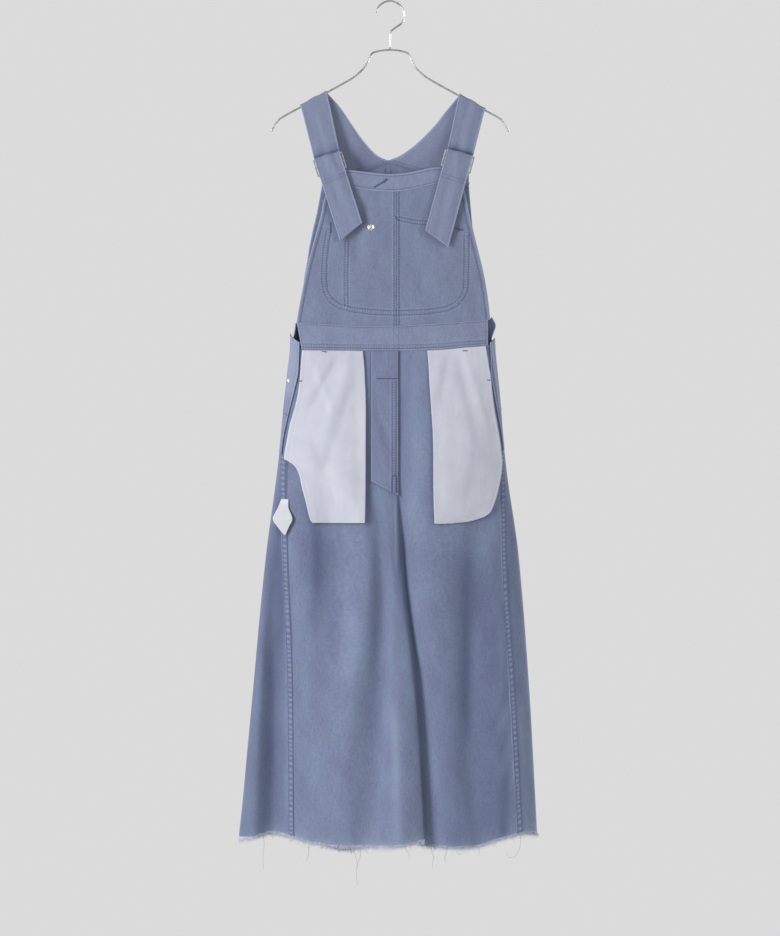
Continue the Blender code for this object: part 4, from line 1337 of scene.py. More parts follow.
@dataclass
class Bib:
    """The bib: a band over two panels with a middle seam, and a wide pocket sewn on from behind.

    Rows of tables are height, left and right; the band's are across, top and bottom.
    """

    panel_top_z: float = -318.0
    stud: tuple = (-32.3, -384.2)
    edges: tuple = ((-299, -103.7, 123.3), (-330, -109.7, 127.7), (-374, -119, 136),
                    (-413, -130, 145.5), (-438.6, -137, 152), (-472.6, -144.5, 159.8),
                    (-498, -149.6, 164), (-523.6, -154.6, 167.5), (-545.5, -158, 169.5))
    band: tuple = ((-103.7, -299.2, -314.5), (-74.8, -288.4, -315.9), (-51, -289.3, -318.8),
                   (-25, -292.4, -322.4), (1.7, -294.1, -323.9), (28, -292.2, -321.8),
                   (51, -287.8, -317), (86.7, -283, -309.4), (123.3, -297.5, -312.8))
    pocket: tuple = ((-352, -110, 122), (-390, -104, 129), (-430, -110, 129),
                     (-480, -112, 129), (-498, -108, 127), (-512, -100, 119),
                     (-521, -84, 106), (-527, -62, 82))
    pocket_outline: tuple = (
        (-104, -390), (-108, -413), (-111, -440), (-112, -474),
        (-109, -494), (-101, -508), (-86, -518), (-66, -523.5), (-34, -528),
        (9, -530), (60, -528), (94, -523), (111, -515), (122, -503),
        (128, -490), (129.5, -440), (129.5, -396))
    pen_line: tuple = ((-73, -405), (-74.5, -460), (-74, -521))
    opening_line: tuple = ((13, -369.5), (38, -374.5), (66, -377.5), (100, -377))
    creases: tuple = (
        Crease(-44, -335, -62, -420, 16, -2.4), Crease(-18, -340, -30, -470, 20, 1.4),
        Crease(48, -345, 62, -470, 22, -1.4), Crease(98, -400, 78, -505, 18, 1.5),
        Crease(-92, -420, -84, -505, 14, -1.2), Crease(-132, -470, -124, -540, 12, 1),
        Crease(30, -500, -50, -520, 12, -0.6), Crease(142, -470, 150, -540, 9, -1))
    bartacks: tuple = (
        ((-27, -316.5), (-7, -305), 3.6), ((-11, -307.5), (-5, -302.5), 5),
        ((-100.5, -376), (-100.5, -393), 2.6), ((111, -386), (124, -389), 3),
        ((114, -391), (123, -387.5), 2.2), ((9, -366.5), (14, -373), 2.4))
    band_size: tuple = (227, 28)
    pocket_cloth: float = 1.2

    @property
    def quilts(self) -> tuple[tuple[tuple, float, float], ...]:
        """The pocket's double rows: each one's line, the gap between its rows, and its height."""
        return ((self.pocket_outline, 8.0, 0.4), (self.pen_line, 6.0, 0.25),
                (self.opening_line, 6.5, 0.35))

    def relief(self, s: Array, t: Array, point: Array) -> Raised:
        """The panels' seams, the pocket's quilting and soft creases.

        Args:
            s: Share of the way across.
            t: Share of the way down.
            point: Points of the middle surface, in mm.

        Returns:
            The lift in mm, and the wear with its painted light and shade.
        """
        x, z = point[:, 0], point[:, 2]
        return together(felled_seam(x - BIB_SEAM_X, z, 12.0),
                        stitched_edge(side_margin(self.edges, x, z), z, 6.0, 0.5),
                        *(quilted_line(*line_distance(x, z, line), gap, height)
                          for line, gap, height in self.quilts),
                        self.pocket_relief(s, t, point))

    def band_relief(self, s: Array, t: Array, point: Array) -> Raised:
        """The band's stitched edges.

        Args:
            s: Share of the way across.
            t: Share of the way down.
            point: Points of the middle surface, in mm; not used.

        Returns:
            The lift in mm, and the wear with its painted light and shade.
        """
        width, height = self.band_size
        lift, wear_and_shade = together(stitched_edge(t * height, s * width, 3.4, 0.4),
                              stitched_edge((1 - t) * height, s * width, 3.0, 0.5),
                              stitched_edge(np.minimum(s, 1 - s) * width, t * height, 3.4, 0.3))
        return lift, np.clip(wear_and_shade, -0.9, 0.9)

    def build(self) -> dict[str, Sheet]:
        """The band, both panels, the pocket and the stud.

        Returns:
            Each cloth piece with its cut, by name.
        """
        made = {}
        stations = smooth_path(self.band, 2)
        shares = np.linspace(0.0, 1.0, 3)[:, None]
        z = stations[:, 1] + (stations[:, 2] - stations[:, 1]) * shares
        x = np.tile(stations[:, 0], (3, 1))
        made["band"] = make_sheet("bib_band_cloth", Form.through(
            np.stack([x, front_y(x, z), z], axis=2), 1.6), DOUBLED_TWILL, Finish.BAND_TWILL,
            ["bib_band"], self.band_relief)
        across, bottom = stations[:, 0], stations[:, 2]
        sides = (("bib_left", across[0], BIB_SEAM_X - SEAM_GAP / 2),
                 ("bib_right", BIB_SEAM_X + SEAM_GAP / 2, across[-1]))
        for name, first, last in sides:
            inside = across[(across > first + 4.0) & (across < last - 4.0)]
            places = (np.array([first, *inside, last]) - first) / (last - first)
            grid = []
            for t in np.linspace(0.0, 1.0, 10):
                height = self.panel_top_z + (WAIST_TOP_Z - self.panel_top_z) * t
                left, right = edge_at(self.edges, height)
                if t == 0.0:
                    left, right = across[0], across[-1]
                start = left if name == "bib_left" else first
                end = last if name == "bib_left" else right
                row_x = start + (end - start) * places
                top = np.interp(row_x, across, bottom) + TUCKED
                row_z = top + (waist_top(row_x) - TUCKED - top) * t
                grid.append(np.stack([row_x, front_y(row_x, row_z), row_z], axis=1))
            made[name] = make_sheet(f"{name}_cloth", Form.through(np.array(grid), 1.45), TWILL,
                                    Finish.BIB_TWILL, [name], self.relief)
        behind = TWILL / 2 + SEAM_GAP + self.pocket_cloth / 2
        rows = [[(x, front_y(x, z) + behind, z) for x in np.linspace(left, right, 8)]
                for z, left, right in self.pocket]
        made["pocket"] = make_sheet("bib_pocket_cloth", Form.through(np.array(rows), 6.0),
                                    self.pocket_cloth, Finish.BODY_TWILL, ["bib_pocket"],
                                    self.pocket_relief)
        x, z = self.stud
        centre = np.array([x, front_y(x, z) - TWILL / 2 - 0.1, z])
        profile = ((0.0, 1.5), (1.8, 1.4), (2.6, 1.0), (3.6, 1.1), (4.4, 2.0), (5.3, 2.1),
                   (6, 1.5), (6.1, 0.6), (6, 0), (0, 0))
        stud = turned_metal("bib_stud_metal", profile, centre, np.array([0.0, -1.0, 0.0]))
        place_piece("bib_stud_metal", stud, Finish.NICKEL, ["bib_stud"])
        return made

    def pocket_relief(self, s: Array, t: Array, point: Array) -> Raised:
        """Soft creases that the pocket and the bib share, fading at the waist."""
        x, z = point[:, 0], point[:, 2]
        return smooth_step((z + 548.0) / 10.0) * crease_lift(x, z, self.creases), np.zeros(s.shape)

    def sew(self, panels: Sequence[bpy.types.Object], band: bpy.types.Object
            ) -> list[bpy.types.Object]:
        """All stitches and bartacks of the bib.

        Args:
            panels: The two panels.
            band: The band over them.

        Returns:
            The rows of stitches, and the bartacks.
        """
        face = Face([*panels, band])
        sewing = Sewing()
        for line, gap, _ in self.quilts:
            points, normals = face.trace(line)
            for offset in (-gap / 2, gap / 2):
                sewing.row(points, normals, offset)
        points, normals = face.trace([(BIB_SEAM_X, -324.5), (BIB_SEAM_X, -550.5)])
        for offset in (-4.3, 4.3):
            sewing.row(points, normals, offset)
        for column, inset in ((1, 6.0), (2, -6.0)):
            path = [(row[column] + inset, row[0]) for row in self.edges[1:]]
            sewing.row(*face.trace(path))
        stations = smooth_path(self.band, 3)[2:-2]
        for column, inset in ((1, -3.4), (2, 3.0)):
            sewing.row(*face.trace([(row[0], row[column] + inset) for row in stations]))
        rows = sewing.finish("bib_stitching", Finish.THREAD)
        tacks = Sewing()
        for start, end, width in self.bartacks:
            tacks.bartack(face, start, end, width)
        return [rows, tacks.finish("bib_bartacks", Finish.DARK_THREAD)]


@dataclass
class Back:
    """The back above the waist: it rises to a point in the middle, under the V of the straps."""

    apex_z: float = -269.4
    band_width: float = 10.4
    corners_z: tuple = (-310, -311.7)
    edges: tuple = ((-309, -115.6, 134.3), (-337, -120.7, 136.5), (-371, -127.5, 139.5),
                    (-405, -136, 143), (-439, -141, 148), (-473, -147, 155),
                    (-507, -150, 162), (-524, -153.5, 166), (-546, -159.5, 170.5))
    creases: tuple = (Crease(-60, -340, -30, -530, 22, 2), Crease(70, -350, 40, -520, 24, -1.8),
                      Crease(-110, -400, -120, -540, 14, -1.5),
                      Crease(120, -420, 128, -540, 14, 1.4), Crease(4, -400, 0, -540, 18, -1.4))

    def relief(self, s: Array, t: Array, point: Array) -> Raised:
        """Turned side edges, the middle seam and soft creases.

        Args:
            s: Share of the way across; not used.
            t: Share of the way down.
            point: Points of the middle surface, in mm.

        Returns:
            The lift in mm, and the wear with its painted light and shade.
        """
        x, z = point[:, 0], point[:, 2]
        lift, wear_and_shade = together(stitched_edge(side_margin(self.edges, x, z), z, 6.0, 0.5),
                              felled_seam(x - YOKE_APEX_X, z, 12.0))
        fade = smooth_step(t / 0.08) * smooth_step((1 - t) / 0.06)
        return lift + fade * crease_lift(x, z, self.creases), wear_and_shade

    def build(self) -> Sheet:
        """The back panel, and its cut.

        Returns:
            The panel, and its cut.
        """
        grid = []
        for t in np.linspace(0.0, 1.0, 10):
            bottom = BACK_WAIST_TOP_Z + SEAM_GAP
            tops = (self.corners_z[0], self.apex_z, self.corners_z[1])
            heights = [top + (bottom - top) * t for top in tops]
            left = edge_at(self.edges, heights[0])[0]
            right = edge_at(self.edges, heights[2])[1]
            row = []
            for share in np.linspace(1.0, -1.0, 9):
                side, side_height = (left, heights[0]) if share < 0 else (right, heights[2])
                x = YOKE_APEX_X + (side - YOKE_APEX_X) * abs(share)
                z = heights[1] + (side_height - heights[1]) * abs(share)
                depth = YOKE_Y + (BACK_WAIST_Y + 1.5 - YOKE_Y) * t
                row.append((x, depth - 14.0 * t**3 * abs(share) ** 5, z))
            grid.append(row)
        return make_sheet("back_panel_cloth", Form.through(np.array(grid), 3.3), TWILL,
                          Finish.BODY_TWILL, ["back_panel"], self.relief)

    def bands(self) -> list[Sheet]:
        """The felled bands of the V seams, over the join of the straps and the back.

        Returns:
            Each band, with its cut.
        """
        made = []
        apex = np.array([YOKE_APEX_X, YOKE_Y, self.apex_z + 0.3])
        for name, x, z in (("left", -115.6, -309.6), ("right", 134.3, -311.3)):
            run = np.array([x, YOKE_Y, z]) - apex
            length = float(np.linalg.norm(run))
            across = np.array([-run[2], 0.0, run[0]]) / length
            rows = [[apex + run * t + across * self.band_width * (s - 0.5)
                     * (float(smooth_step(t / 0.1)) if (s - 0.5) * across[2] > 0 else 1.0)
                     for s in np.linspace(0.0, 1.0, 3)] for t in np.linspace(0.002, 0.998, 12)]

            def relief(s: Array, t: Array, point: Array) -> Raised:
                """Two rows of stitches drawn into the band."""
                return felled_seam((s - 0.5) * self.band_width, t * length, self.band_width, 0.1)

            made.append(make_sheet(f"yoke_seam_{name}", Form.through(np.array(rows), 1.3), 2.6,
                                   Finish.BODY_TWILL, [], relief))
        return made

    def sew(self, pieces: Sequence[bpy.types.Object]) -> list[bpy.types.Object]:
        """The V seams' double stitching, inside and outside, and the middle seam's.

        Args:
            pieces: The straps, the panel and the bands.

        Returns:
            The stitches, as one piece.
        """
        sewing = Sewing()
        for from_front in (True, False):
            face = Face(pieces, from_front)
            for corner in ((-112.0, -308.0), (130.0, -309.5)):
                for lower in (-3.0, 3.0):
                    ends = [(YOKE_APEX_X + math.copysign(4.0, corner[0]), self.apex_z + lower),
                            (corner[0], corner[1] + lower)]
                    sewing.row(*face.trace(ends))
            for offset in (-4.3, 4.3):
                x = YOKE_APEX_X + offset
                sewing.row(*face.trace([(x, self.apex_z - 12.0), (x, BACK_WAIST_TOP_Z + 4.0)]))
        return [sewing.finish("back_stitching", Finish.THREAD)]


# Skirt


@dataclass
class Skirt:
    """The skirt: a closed, smooth surface through fold lines, in four panels, with its hem raw.

    A fold line is its name, x at five levels, y at the same levels, and z at the top and the hem.
    A seam is its name, its fold line, how far down its band and its stitches start, its width, how
    far from its middle the stitches stand, and how dark the painted shadow along its edge is on the
    side of growing u.
    """

    levels: tuple = (0, 0.248, 0.428, 0.713, 1)
    folds: tuple = (
        ("edge_left", -167, -190.4, -210, -232.9, -256, 0, 0, 0, 0, 0, -588, -1421),
        ("outer_left", -164.2, -189.3, -206.5, -222, -232, -8, -4.5, -14, -26, -31, -589, -1418),
        ("groove_left", -158.5, -187, -195, -197, -202, -14, -8.5, -18, -15, -17, -590, -1411),
        ("seam_left", -149.6, -183, -178.5, -168.3, -166.5, -19, -13, -18, -25, -30, -591, -1416),
        ("dip_left", -118, -140, -134, -140, -137, -21, -28.5, -29, -31, -35, -591.5, -1425),
        ("lean_left", -90, -101, -96, -104, -104, -21.7, -33, -17, -39, -43, -591.8, -1429),
        ("bulge_left", -62, -64, -38, -64, -80, -22, -36.5, -43, -50, -45, -592.2, -1431),
        ("valley_left", -36, -34, -12, -16, -40, -22, -36.8, -36, -37, -41, -592.7, -1431),
        ("ridge", -12, -10, 5, 14, 18, -22, -37.5, -39, -52, -58, -593, -1429),
        ("fold_edge", 10.5, 10.5, 16, 42.5, 57, -22, -37, -35, -45, -46, -593.3, -1421),
        ("fold_back", 12.6, 12.4, 17, 39.5, 51, -22, -36.4, -30.5, -40, -41, -593.3, -1424),
        ("tuck", 14.8, 14.6, 18.5, 38.5, 49, -22, -36.1, -26.5, -34, -34, -593.3, -1427),
        ("emerge", 18, 18, 24, 49, 62, -22, -36.2, -26, -31, -31, -593.3, -1431),
        ("flat_right", 32, 34, 40, 67, 84, -22, -36.8, -38, -37, -35.5, -593, -1433),
        ("inner_right", 60, 60, 70, 92, 108, -22, -37, -42, -40, -38, -592, -1434),
        ("brow_right", 95, 112, 116, 112, 128, -21.5, -33.5, -37.5, -37, -36, -590, -1434),
        ("hollow_right", 125, 146, 147, 136, 146, -21.2, -28, -27, -28, -32.5, -587, -1433),
        ("dent_right", 148, 172, 176, 176, 174, -19.8, -19, -24, -29, -31.5, -585, -1424),
        ("seam_right", 166, 191.5, 193, 208, 221, -18, -10, -20, -25, -25, -583.5, -1412),
        ("wrap_right", 171.5, 194.6, 208, 224, 238, -9, -5, -12, -16, -17, -583, -1411),
        ("edge_right", 175.5, 196.4, 217.6, 236.3, 249.5, 0, 0, 0, 0, 0, -583, -1413),
        ("back_right", 150, 166, 182, 198, 208, 18, 26, 28, 33, 36, -584, -1418),
        ("back_dip_right", 116, 126, 134, 142, 148, 22.5, 31, 27, 25, 24, -585, -1426),
        ("back_ridge_right", 68, 73, 78, 84, 88, 24, 36, 42, 46, 48, -586, -1431),
        ("back_middle", 5, 5, 6, 8, 10, 24, 34, 33, 32, 31, -587, -1429),
        ("back_ridge_left", -62, -66, -70, -74, -76, 24, 36, 43, 48, 52, -588, -1449),
        ("back_dip_left", -112, -122, -129, -136, -141, 22.5, 31, 27, 26, 26, -588, -1427),
        ("back_left", -148, -163, -180, -198, -209, 18, 26, 29, 34, 38, -588, -1418),
    )
    front_creases: tuple = (
        Crease(-140, -905, -120, -1120, 13, -1.6), Crease(-62, -830, -80, -1040, 16, -1.4),
        Crease(-34, -900, -30, -1180, 11, 1.1), Crease(60, -880, 74, -1150, 14, 1.2),
        Crease(118, -900, 132, -1200, 15, -1.5), Crease(204, -1172, 176, -1236, 7, -1.2),
        Crease(208, -1225, 184, -1290, 7, -1.1), Crease(212, -1285, 196, -1345, 6, -0.9),
        Crease(-186, -900, -196, -1020, 7, -1.2), Crease(-40, -1250, -66, -1400, 18, 1),
        Crease(96, -1240, 92, -1400, 16, -1.2), Crease(150, -1060, 160, -1260, 12, 1))
    # Lines of painted shade (amount below 0) and painted highlight (amount above 0) along the
    # front's folds, each given as a crease whose depth is the amount.
    front_painted_shades: tuple = (
        Crease(-188, -920, -188, -1100, 12, -0.35), Crease(-196, -1080, -203, -1420, 13, -0.35),
        Crease(-127, -840, -124, -1030, 8, -0.45), Crease(-92, -880, -96, -1130, 9, -0.35),
        Crease(-25, -860, -30, -1240, 11, -0.25), Crease(12, -640, 10, -1000, 9, -0.2),
        Crease(8, -1180, 14, -1430, 8, 0.35), Crease(-66, -1020, -70, -1150, 11, 0.25),
        Crease(130, -890, 128, -1250, 9, -0.4), Crease(196, -1300, 190, -1420, 10, -0.35),
        Crease(44, -600, 42, -900, 14, 0.3), Crease(-150, -830, -130, -1000, 22, -0.3),
        Crease(220, -1180, 236, -1420, 7, 0.25),
        Crease(-26, -600, -38, -880, 8, -0.5), Crease(22, -900, 49, -1200, 5, -0.55),
        Crease(48, -1170, 62, -1430, 5, -0.6), Crease(8, -835, 10, -965, 2.4, 0.6),
        Crease(14, -835, 17, -965, 2.4, -0.6))
    back_creases: tuple = (
        Crease(-90, -620, -108, -900, 18, -2), Crease(40, -600, 30, -860, 16, 1.6),
        Crease(110, -640, 118, -980, 18, -1.8), Crease(-30, -760, -44, -1200, 20, 1.8),
        Crease(60, -980, 52, -1380, 18, -1.6), Crease(-110, -1050, -104, -1400, 16, 1.5),
        Crease(150, -1050, 166, -1390, 14, -1.5))
    seams: tuple = (("left", "seam_left", 0.22, 0.22, 13.0, 3.9, 1.3),
                    ("right", "seam_right", 0.22, 0.22, 12.0, 3.6, 0.4),
                    ("back", "back_middle", 0.004, 0.006, 12.0, 3.6, 0.0))
    drop: float = 830.0
    panel_rows: int = 178
    front_cell: float = 4.6
    back_cell: float = 5.3
    made: dict = field(default_factory=dict)

    def __post_init__(self) -> None:
        """Read the table into arrays."""
        values = np.array([row[1:] for row in self.folds], dtype=float)
        self.names = [row[0] for row in self.folds]
        self.count = len(self.folds)
        self.at_levels = np.array(self.levels)
        self.plan = np.stack([values[:, :5], values[:, 5:10]], axis=2).transpose(1, 0, 2)
        self.top, self.hem = values[:, 10], values[:, 11]
        self.slopes = self.monotone_slopes()

    def fold(self, name: str, turn: int = 0) -> float:
        """The ring's parameter at a fold line, with whole turns added to pass the start."""
        return float(self.names.index(name) + turn * self.count)

    def monotone_slopes(self) -> Array:
        """Slopes of curves down the fold lines that never overshoot their given places.

        Returns:
            A slope for each fold line at each level.
        """
        rises = np.diff(self.plan, axis=0) / np.diff(self.at_levels)[:, None, None]
        slopes = np.zeros_like(self.plan)
        slopes[0], slopes[-1] = rises[0], rises[-1]
        for k in range(1, len(self.at_levels) - 1):
            before, after = rises[k - 1], rises[k]
            total = np.where(np.abs(before + after) < 1e-9, 1.0, before + after)
            slopes[k] = np.where(before * after > 0, 2 * before * after / total, 0.0)
        return slopes

    def lines(self, v: Array) -> Array:
        """Where every fold line is at each share v of the way down.

        Args:
            v: Shares of the way down.

        Returns:
            A row of points for each share, in mm.
        """
        levels = self.at_levels
        inside = np.clip(v, 0.0, 1.0)
        k = np.clip(np.searchsorted(levels, inside, side="right") - 1, 0, len(levels) - 2)
        span = (levels[k + 1] - levels[k])[:, None, None]
        t = ((inside - levels[k]) / (levels[k + 1] - levels[k]))[:, None, None]
        plan = ((2 * t**3 - 3 * t**2 + 1) * self.plan[k]
                + (t**3 - 2 * t**2 + t) * span * self.slopes[k]
                + (3 * t**2 - 2 * t**3) * self.plan[k + 1]
                + (t**3 - t**2) * span * self.slopes[k + 1])
        height = self.top + (self.hem - self.top) * v[:, None]
        return np.concatenate([plan, height[:, :, None]], axis=2)

    def points(self, u: Array, v: Array) -> Array:
        """The skirt's middle surface: u runs round the fold lines, v from the waist to the hem.

        Args:
            u: Places round the fold lines.
            v: Shares of the way down.

        Returns:
            The points, in mm.
        """
        u, v = np.broadcast_arrays(np.asarray(u, dtype=float), np.asarray(v, dtype=float))
        shape = u.shape
        u, v = u.ravel(), v.ravel()
        lines = self.lines(v)
        first = np.floor(u).astype(int)
        share = (u - first)[:, None]
        sample = np.arange(len(u))
        a, b, c, d = (lines[sample, (first + k) % self.count] for k in (-1, 0, 1, 2))
        knot_b = np.sqrt(np.linalg.norm(b - a, axis=1))[:, None]
        knot_c = knot_b + np.sqrt(np.linalg.norm(c - b, axis=1))[:, None]
        knot_d = knot_c + np.sqrt(np.linalg.norm(d - c, axis=1))[:, None]
        t = knot_b + share * (knot_c - knot_b)
        ab = (knot_b - t) / knot_b * a + t / knot_b * b
        bc = ((knot_c - t) * b + (t - knot_b) * c) / (knot_c - knot_b)
        cd = ((knot_d - t) * c + (t - knot_c) * d) / (knot_d - knot_c)
        abc = ((knot_c - t) * ab + t * bc) / knot_c
        bcd = ((knot_d - t) * bc + (t - knot_b) * cd) / (knot_d - knot_b)
        point = ((knot_c - t) * abc + (t - knot_b) * bcd) / (knot_c - knot_b)
        return point.reshape(shape + (3,))

    def normals(self, u: Array, v: Array) -> Array:
        """Outward directions of the middle surface.

        Args:
            u: Places round the fold lines.
            v: Shares of the way down.

        Returns:
            The directions.
        """
        along = self.points(u + 0.02, v) - self.points(u - 0.02, v)
        down = self.points(u, v + 0.004) - self.points(u, v - 0.004)
        return unit(np.cross(along, -down))

    @property
    def panels(self) -> tuple[tuple[str, float, float], ...]:
        """Each panel's name, and the fold lines that its seams are on.

        Returns:
            The name and both fold lines of each panel.
        """
        return (("front_left", self.fold("seam_left"), self.fold("tuck")),
                ("front_right", self.fold("tuck"), self.fold("seam_right")),
                ("back_right", self.fold("seam_right"), self.fold("back_middle")),
                ("back_left", self.fold("back_middle"), self.fold("seam_left", 1)))

    def panel_form(self, first: float, last: float, cell: float) -> Form:
        """The form of the stretch of the skirt between two fold lines.

        Args:
            first: The fold line of its first seam.
            last: The fold line of its last seam.
            cell: Wanted size of a cell at the hem, in mm.

        Returns:
            The form.
        """
        ends = np.arange(first, last + 0.5)
        hem = self.points(ends, np.ones_like(ends))
        spread = Spread.over(np.linalg.norm(np.diff(hem, axis=0), axis=1), cell, 4)
        inset = SEAM_GAP / 2

        def place(s: Array, t: Array) -> Array:
            """Points of the surface, drawn in a little at the two seams.

            Args:
                s: Share of the way across.
                t: Share of the way down.

            Returns:
                The points, in mm.
            """
            u = first + spread.at(s)
            point = self.points(u, t)
            for edge, way in ((0.0, 0.02), (1.0, -0.02)):
                near = np.abs(s - edge) < 1e-6
                beside = self.points(u[near] + way, t[near])
                point[near] += unit(beside - point[near]) * inset
            return point

        return Form(spread.cells, self.panel_rows, place)

    def relief(self, s: Array, t: Array, point: Array) -> Raised:
        """Soft creases, a slight overall unevenness, the pale frayed edge of the hem, painted shade
        and highlight along the front's folds, and painted shade over its lower right and its outer
        left strip.

        Args:
            s: Share of the way across; not used.
            t: Share of the way down.
            point: Points of the middle surface, in mm.

        Returns:
            The lift in mm, and the wear with its painted light and shade.
        """
        x, y, z = point[:, 0], point[:, 1], point[:, 2]
        front = smooth_step((-y - 4.0) / 10.0)
        back = smooth_step((y - 4.0) / 10.0)
        fade = smooth_step((-602.0 - z) / 40.0)
        lift = front * crease_lift(x, z, self.front_creases)
        lift += back * crease_lift(x, z, self.back_creases)
        lift += 0.35 * wander(x / 83.0 + 0.2 * wander(z / 310.0, 1.0), 5.0) * wander(z / 260.0, 2.0)
        lift += 0.5 * wander(x / 17.0, 1.5) * hump(1 - t, 0.03)
        wear_and_shade = hump(1 - t, 0.005) + 0.25 * hump(1 - t, 0.02)
        # Painted shade where a line's amount is below 0 and painted highlight where it is above 0,
        # along the front's folds.
        wear_and_shade += front * crease_lift(x, z, self.front_painted_shades)
        # Painted shade: the front darker at its lower right, below the right pocket, and on its
        # outer left strip beyond the seam.
        wear_and_shade -= front * (0.45 * smooth_step((x - 70.0) / 50.0) * smooth_step((215.0 - x) / 20.0)
                         * smooth_step((-900.0 - z) / 80.0)
                         + 0.4 * smooth_step((-172.0 - x) / 12.0))
        return lift * fade, wear_and_shade + 0.15 * wander(x / 40.0, 3.0) * wander(z / 130.0, 4.0)

    def seam(self, name: str, u: float, v_top: float, v_bottom: float, width: float,
             shade: float) -> Sheet:
        """A felled seam: a narrow puckered band over two panels' edges.

        Args:
            name: The seam's name.
            u: The fold line that it is on.
            v_top: Share of the way down where it starts.
            v_bottom: Share of the way down where it ends.
            width: Of the band, in mm.
            shade: How dark the painted shadow along its edge is on the side of growing u.

        Returns:
            The band, and its cut.
        """
        length = self.drop * (v_bottom - v_top)
        columns, rows = 10, int(length / 1.4)

        def place(s: Array, t: Array) -> Array:
            """Points over the panels' faces; the long edges go into the cloth.

            Args:
                s: Share of the way across.
                t: Share of the way down.

            Returns:
                The points, in mm.
            """
            v = v_top + (v_bottom - v_top) * t
            line_v = v_top + (v_bottom - v_top) * np.arange(rows + 1) / rows
            step = (self.points(np.full(rows + 1, u + 0.05), line_v)
                    - self.points(np.full(rows + 1, u - 0.05), line_v))
            per_mm = 0.1 / np.linalg.norm(step, axis=1)
            offset = (s - 0.5) * width
            across = u + offset * np.interp(v, line_v, per_mm)
            edge = smooth_step(np.minimum(s, 1 - s) / 0.16)
            lift = -0.2 + 1.0 * edge
            return self.points(across, v) + self.normals(across, v) * lift[:, None]

        def relief(s: Array, t: Array, point: Array) -> Raised:
            """Puckers between the rows of stitches, with painted light and shade, and a painted
            shadow along one edge.

            Args:
                s: Share of the way across.
                t: Share of the way down.
                point: Points of the middle surface, in mm; not used.

            Returns:
                The lift in mm, and the wear with its painted light and shade.
            """
            offset = (s - 0.5) * width
            along = t * length
            rows_of_thread = hump(np.abs(offset) - width * 0.3, 0.9)
            tick = pucker(along, 4.6)
            chain = pucker(along + 6.0 * wander(along / 140.0, u), 8.6)
            inside = smooth_step((width * 0.3 - np.abs(offset)) / 1.4)
            # Painted highlight on the puckers where they rise and painted shade where they sink,
            # darker along the rows of stitches, paler at the band's edges.
            wear_and_shade = 0.6 * inside * chain - rows_of_thread * (0.55 - 0.35 * tick)
            wear_and_shade += 0.35 * hump(np.abs(offset) - width * 0.44, 0.7)
            # Painted shadow along the band's edge on the side of growing u.
            wear_and_shade -= shade * hump(offset - width * 0.46, 1.1)
            return 0.4 * inside * chain - 0.3 * rows_of_thread, wear_and_shade

        return make_sheet(name, Form(columns, rows, place), 1.0, Finish.BODY_TWILL, [], relief)

    def seam_stitches(self, sewing: Sewing, u: float, v_top: float, v_bottom: float,
                      offsets: Sequence[float]) -> None:
        """Rows of stitches down a seam.

        Args:
            sewing: What the stitches join.
            u: The fold line of the seam.
            v_top: Share of the way down where they start.
            v_bottom: Share of the way down where they end.
            offsets: How far each row stands from the fold line, in mm.
        """
        v = np.linspace(v_top, v_bottom, int(self.drop * (v_bottom - v_top) / 3))
        us = np.full(len(v), u)
        step = self.points(us + 0.05, v) - self.points(us - 0.05, v)
        for offset in offsets:
            across = us + offset * 0.1 / np.linalg.norm(step, axis=1)
            normal = self.normals(across, v)
            sewing.row(self.points(across, v) + normal * 1.15, normal)

    def build(self) -> dict[str, Sheet]:
        """The four panels and their felled seams.

        Returns:
            Each piece with its cut, by name.
        """
        for name, first, last in self.panels:
            cell = self.front_cell if name.startswith("front") else self.back_cell
            self.made[name] = make_sheet(
                f"skirt_{name}_cloth", self.panel_form(first, last, cell), TWILL,
                Finish.BODY_TWILL, [f"skirt_{name}"], self.relief)
        for name, line, top, _, width, _, shade in self.seams:
            self.made[f"seam_{name}"] = self.seam(f"skirt_seam_{name}", self.fold(line), top,
                                                  0.998, width, shade)
        return self.made

    def sew(self) -> bpy.types.Object:
        """The stitches of the felled seams.

        Returns:
            The stitches, as one piece.
        """
        sewing = Sewing()
        for _, line, _, top, _, offset, _ in self.seams:
            self.seam_stitches(sewing, self.fold(line), top, 0.995, (-offset, offset))
        return sewing.finish("skirt_stitching", Finish.THREAD)


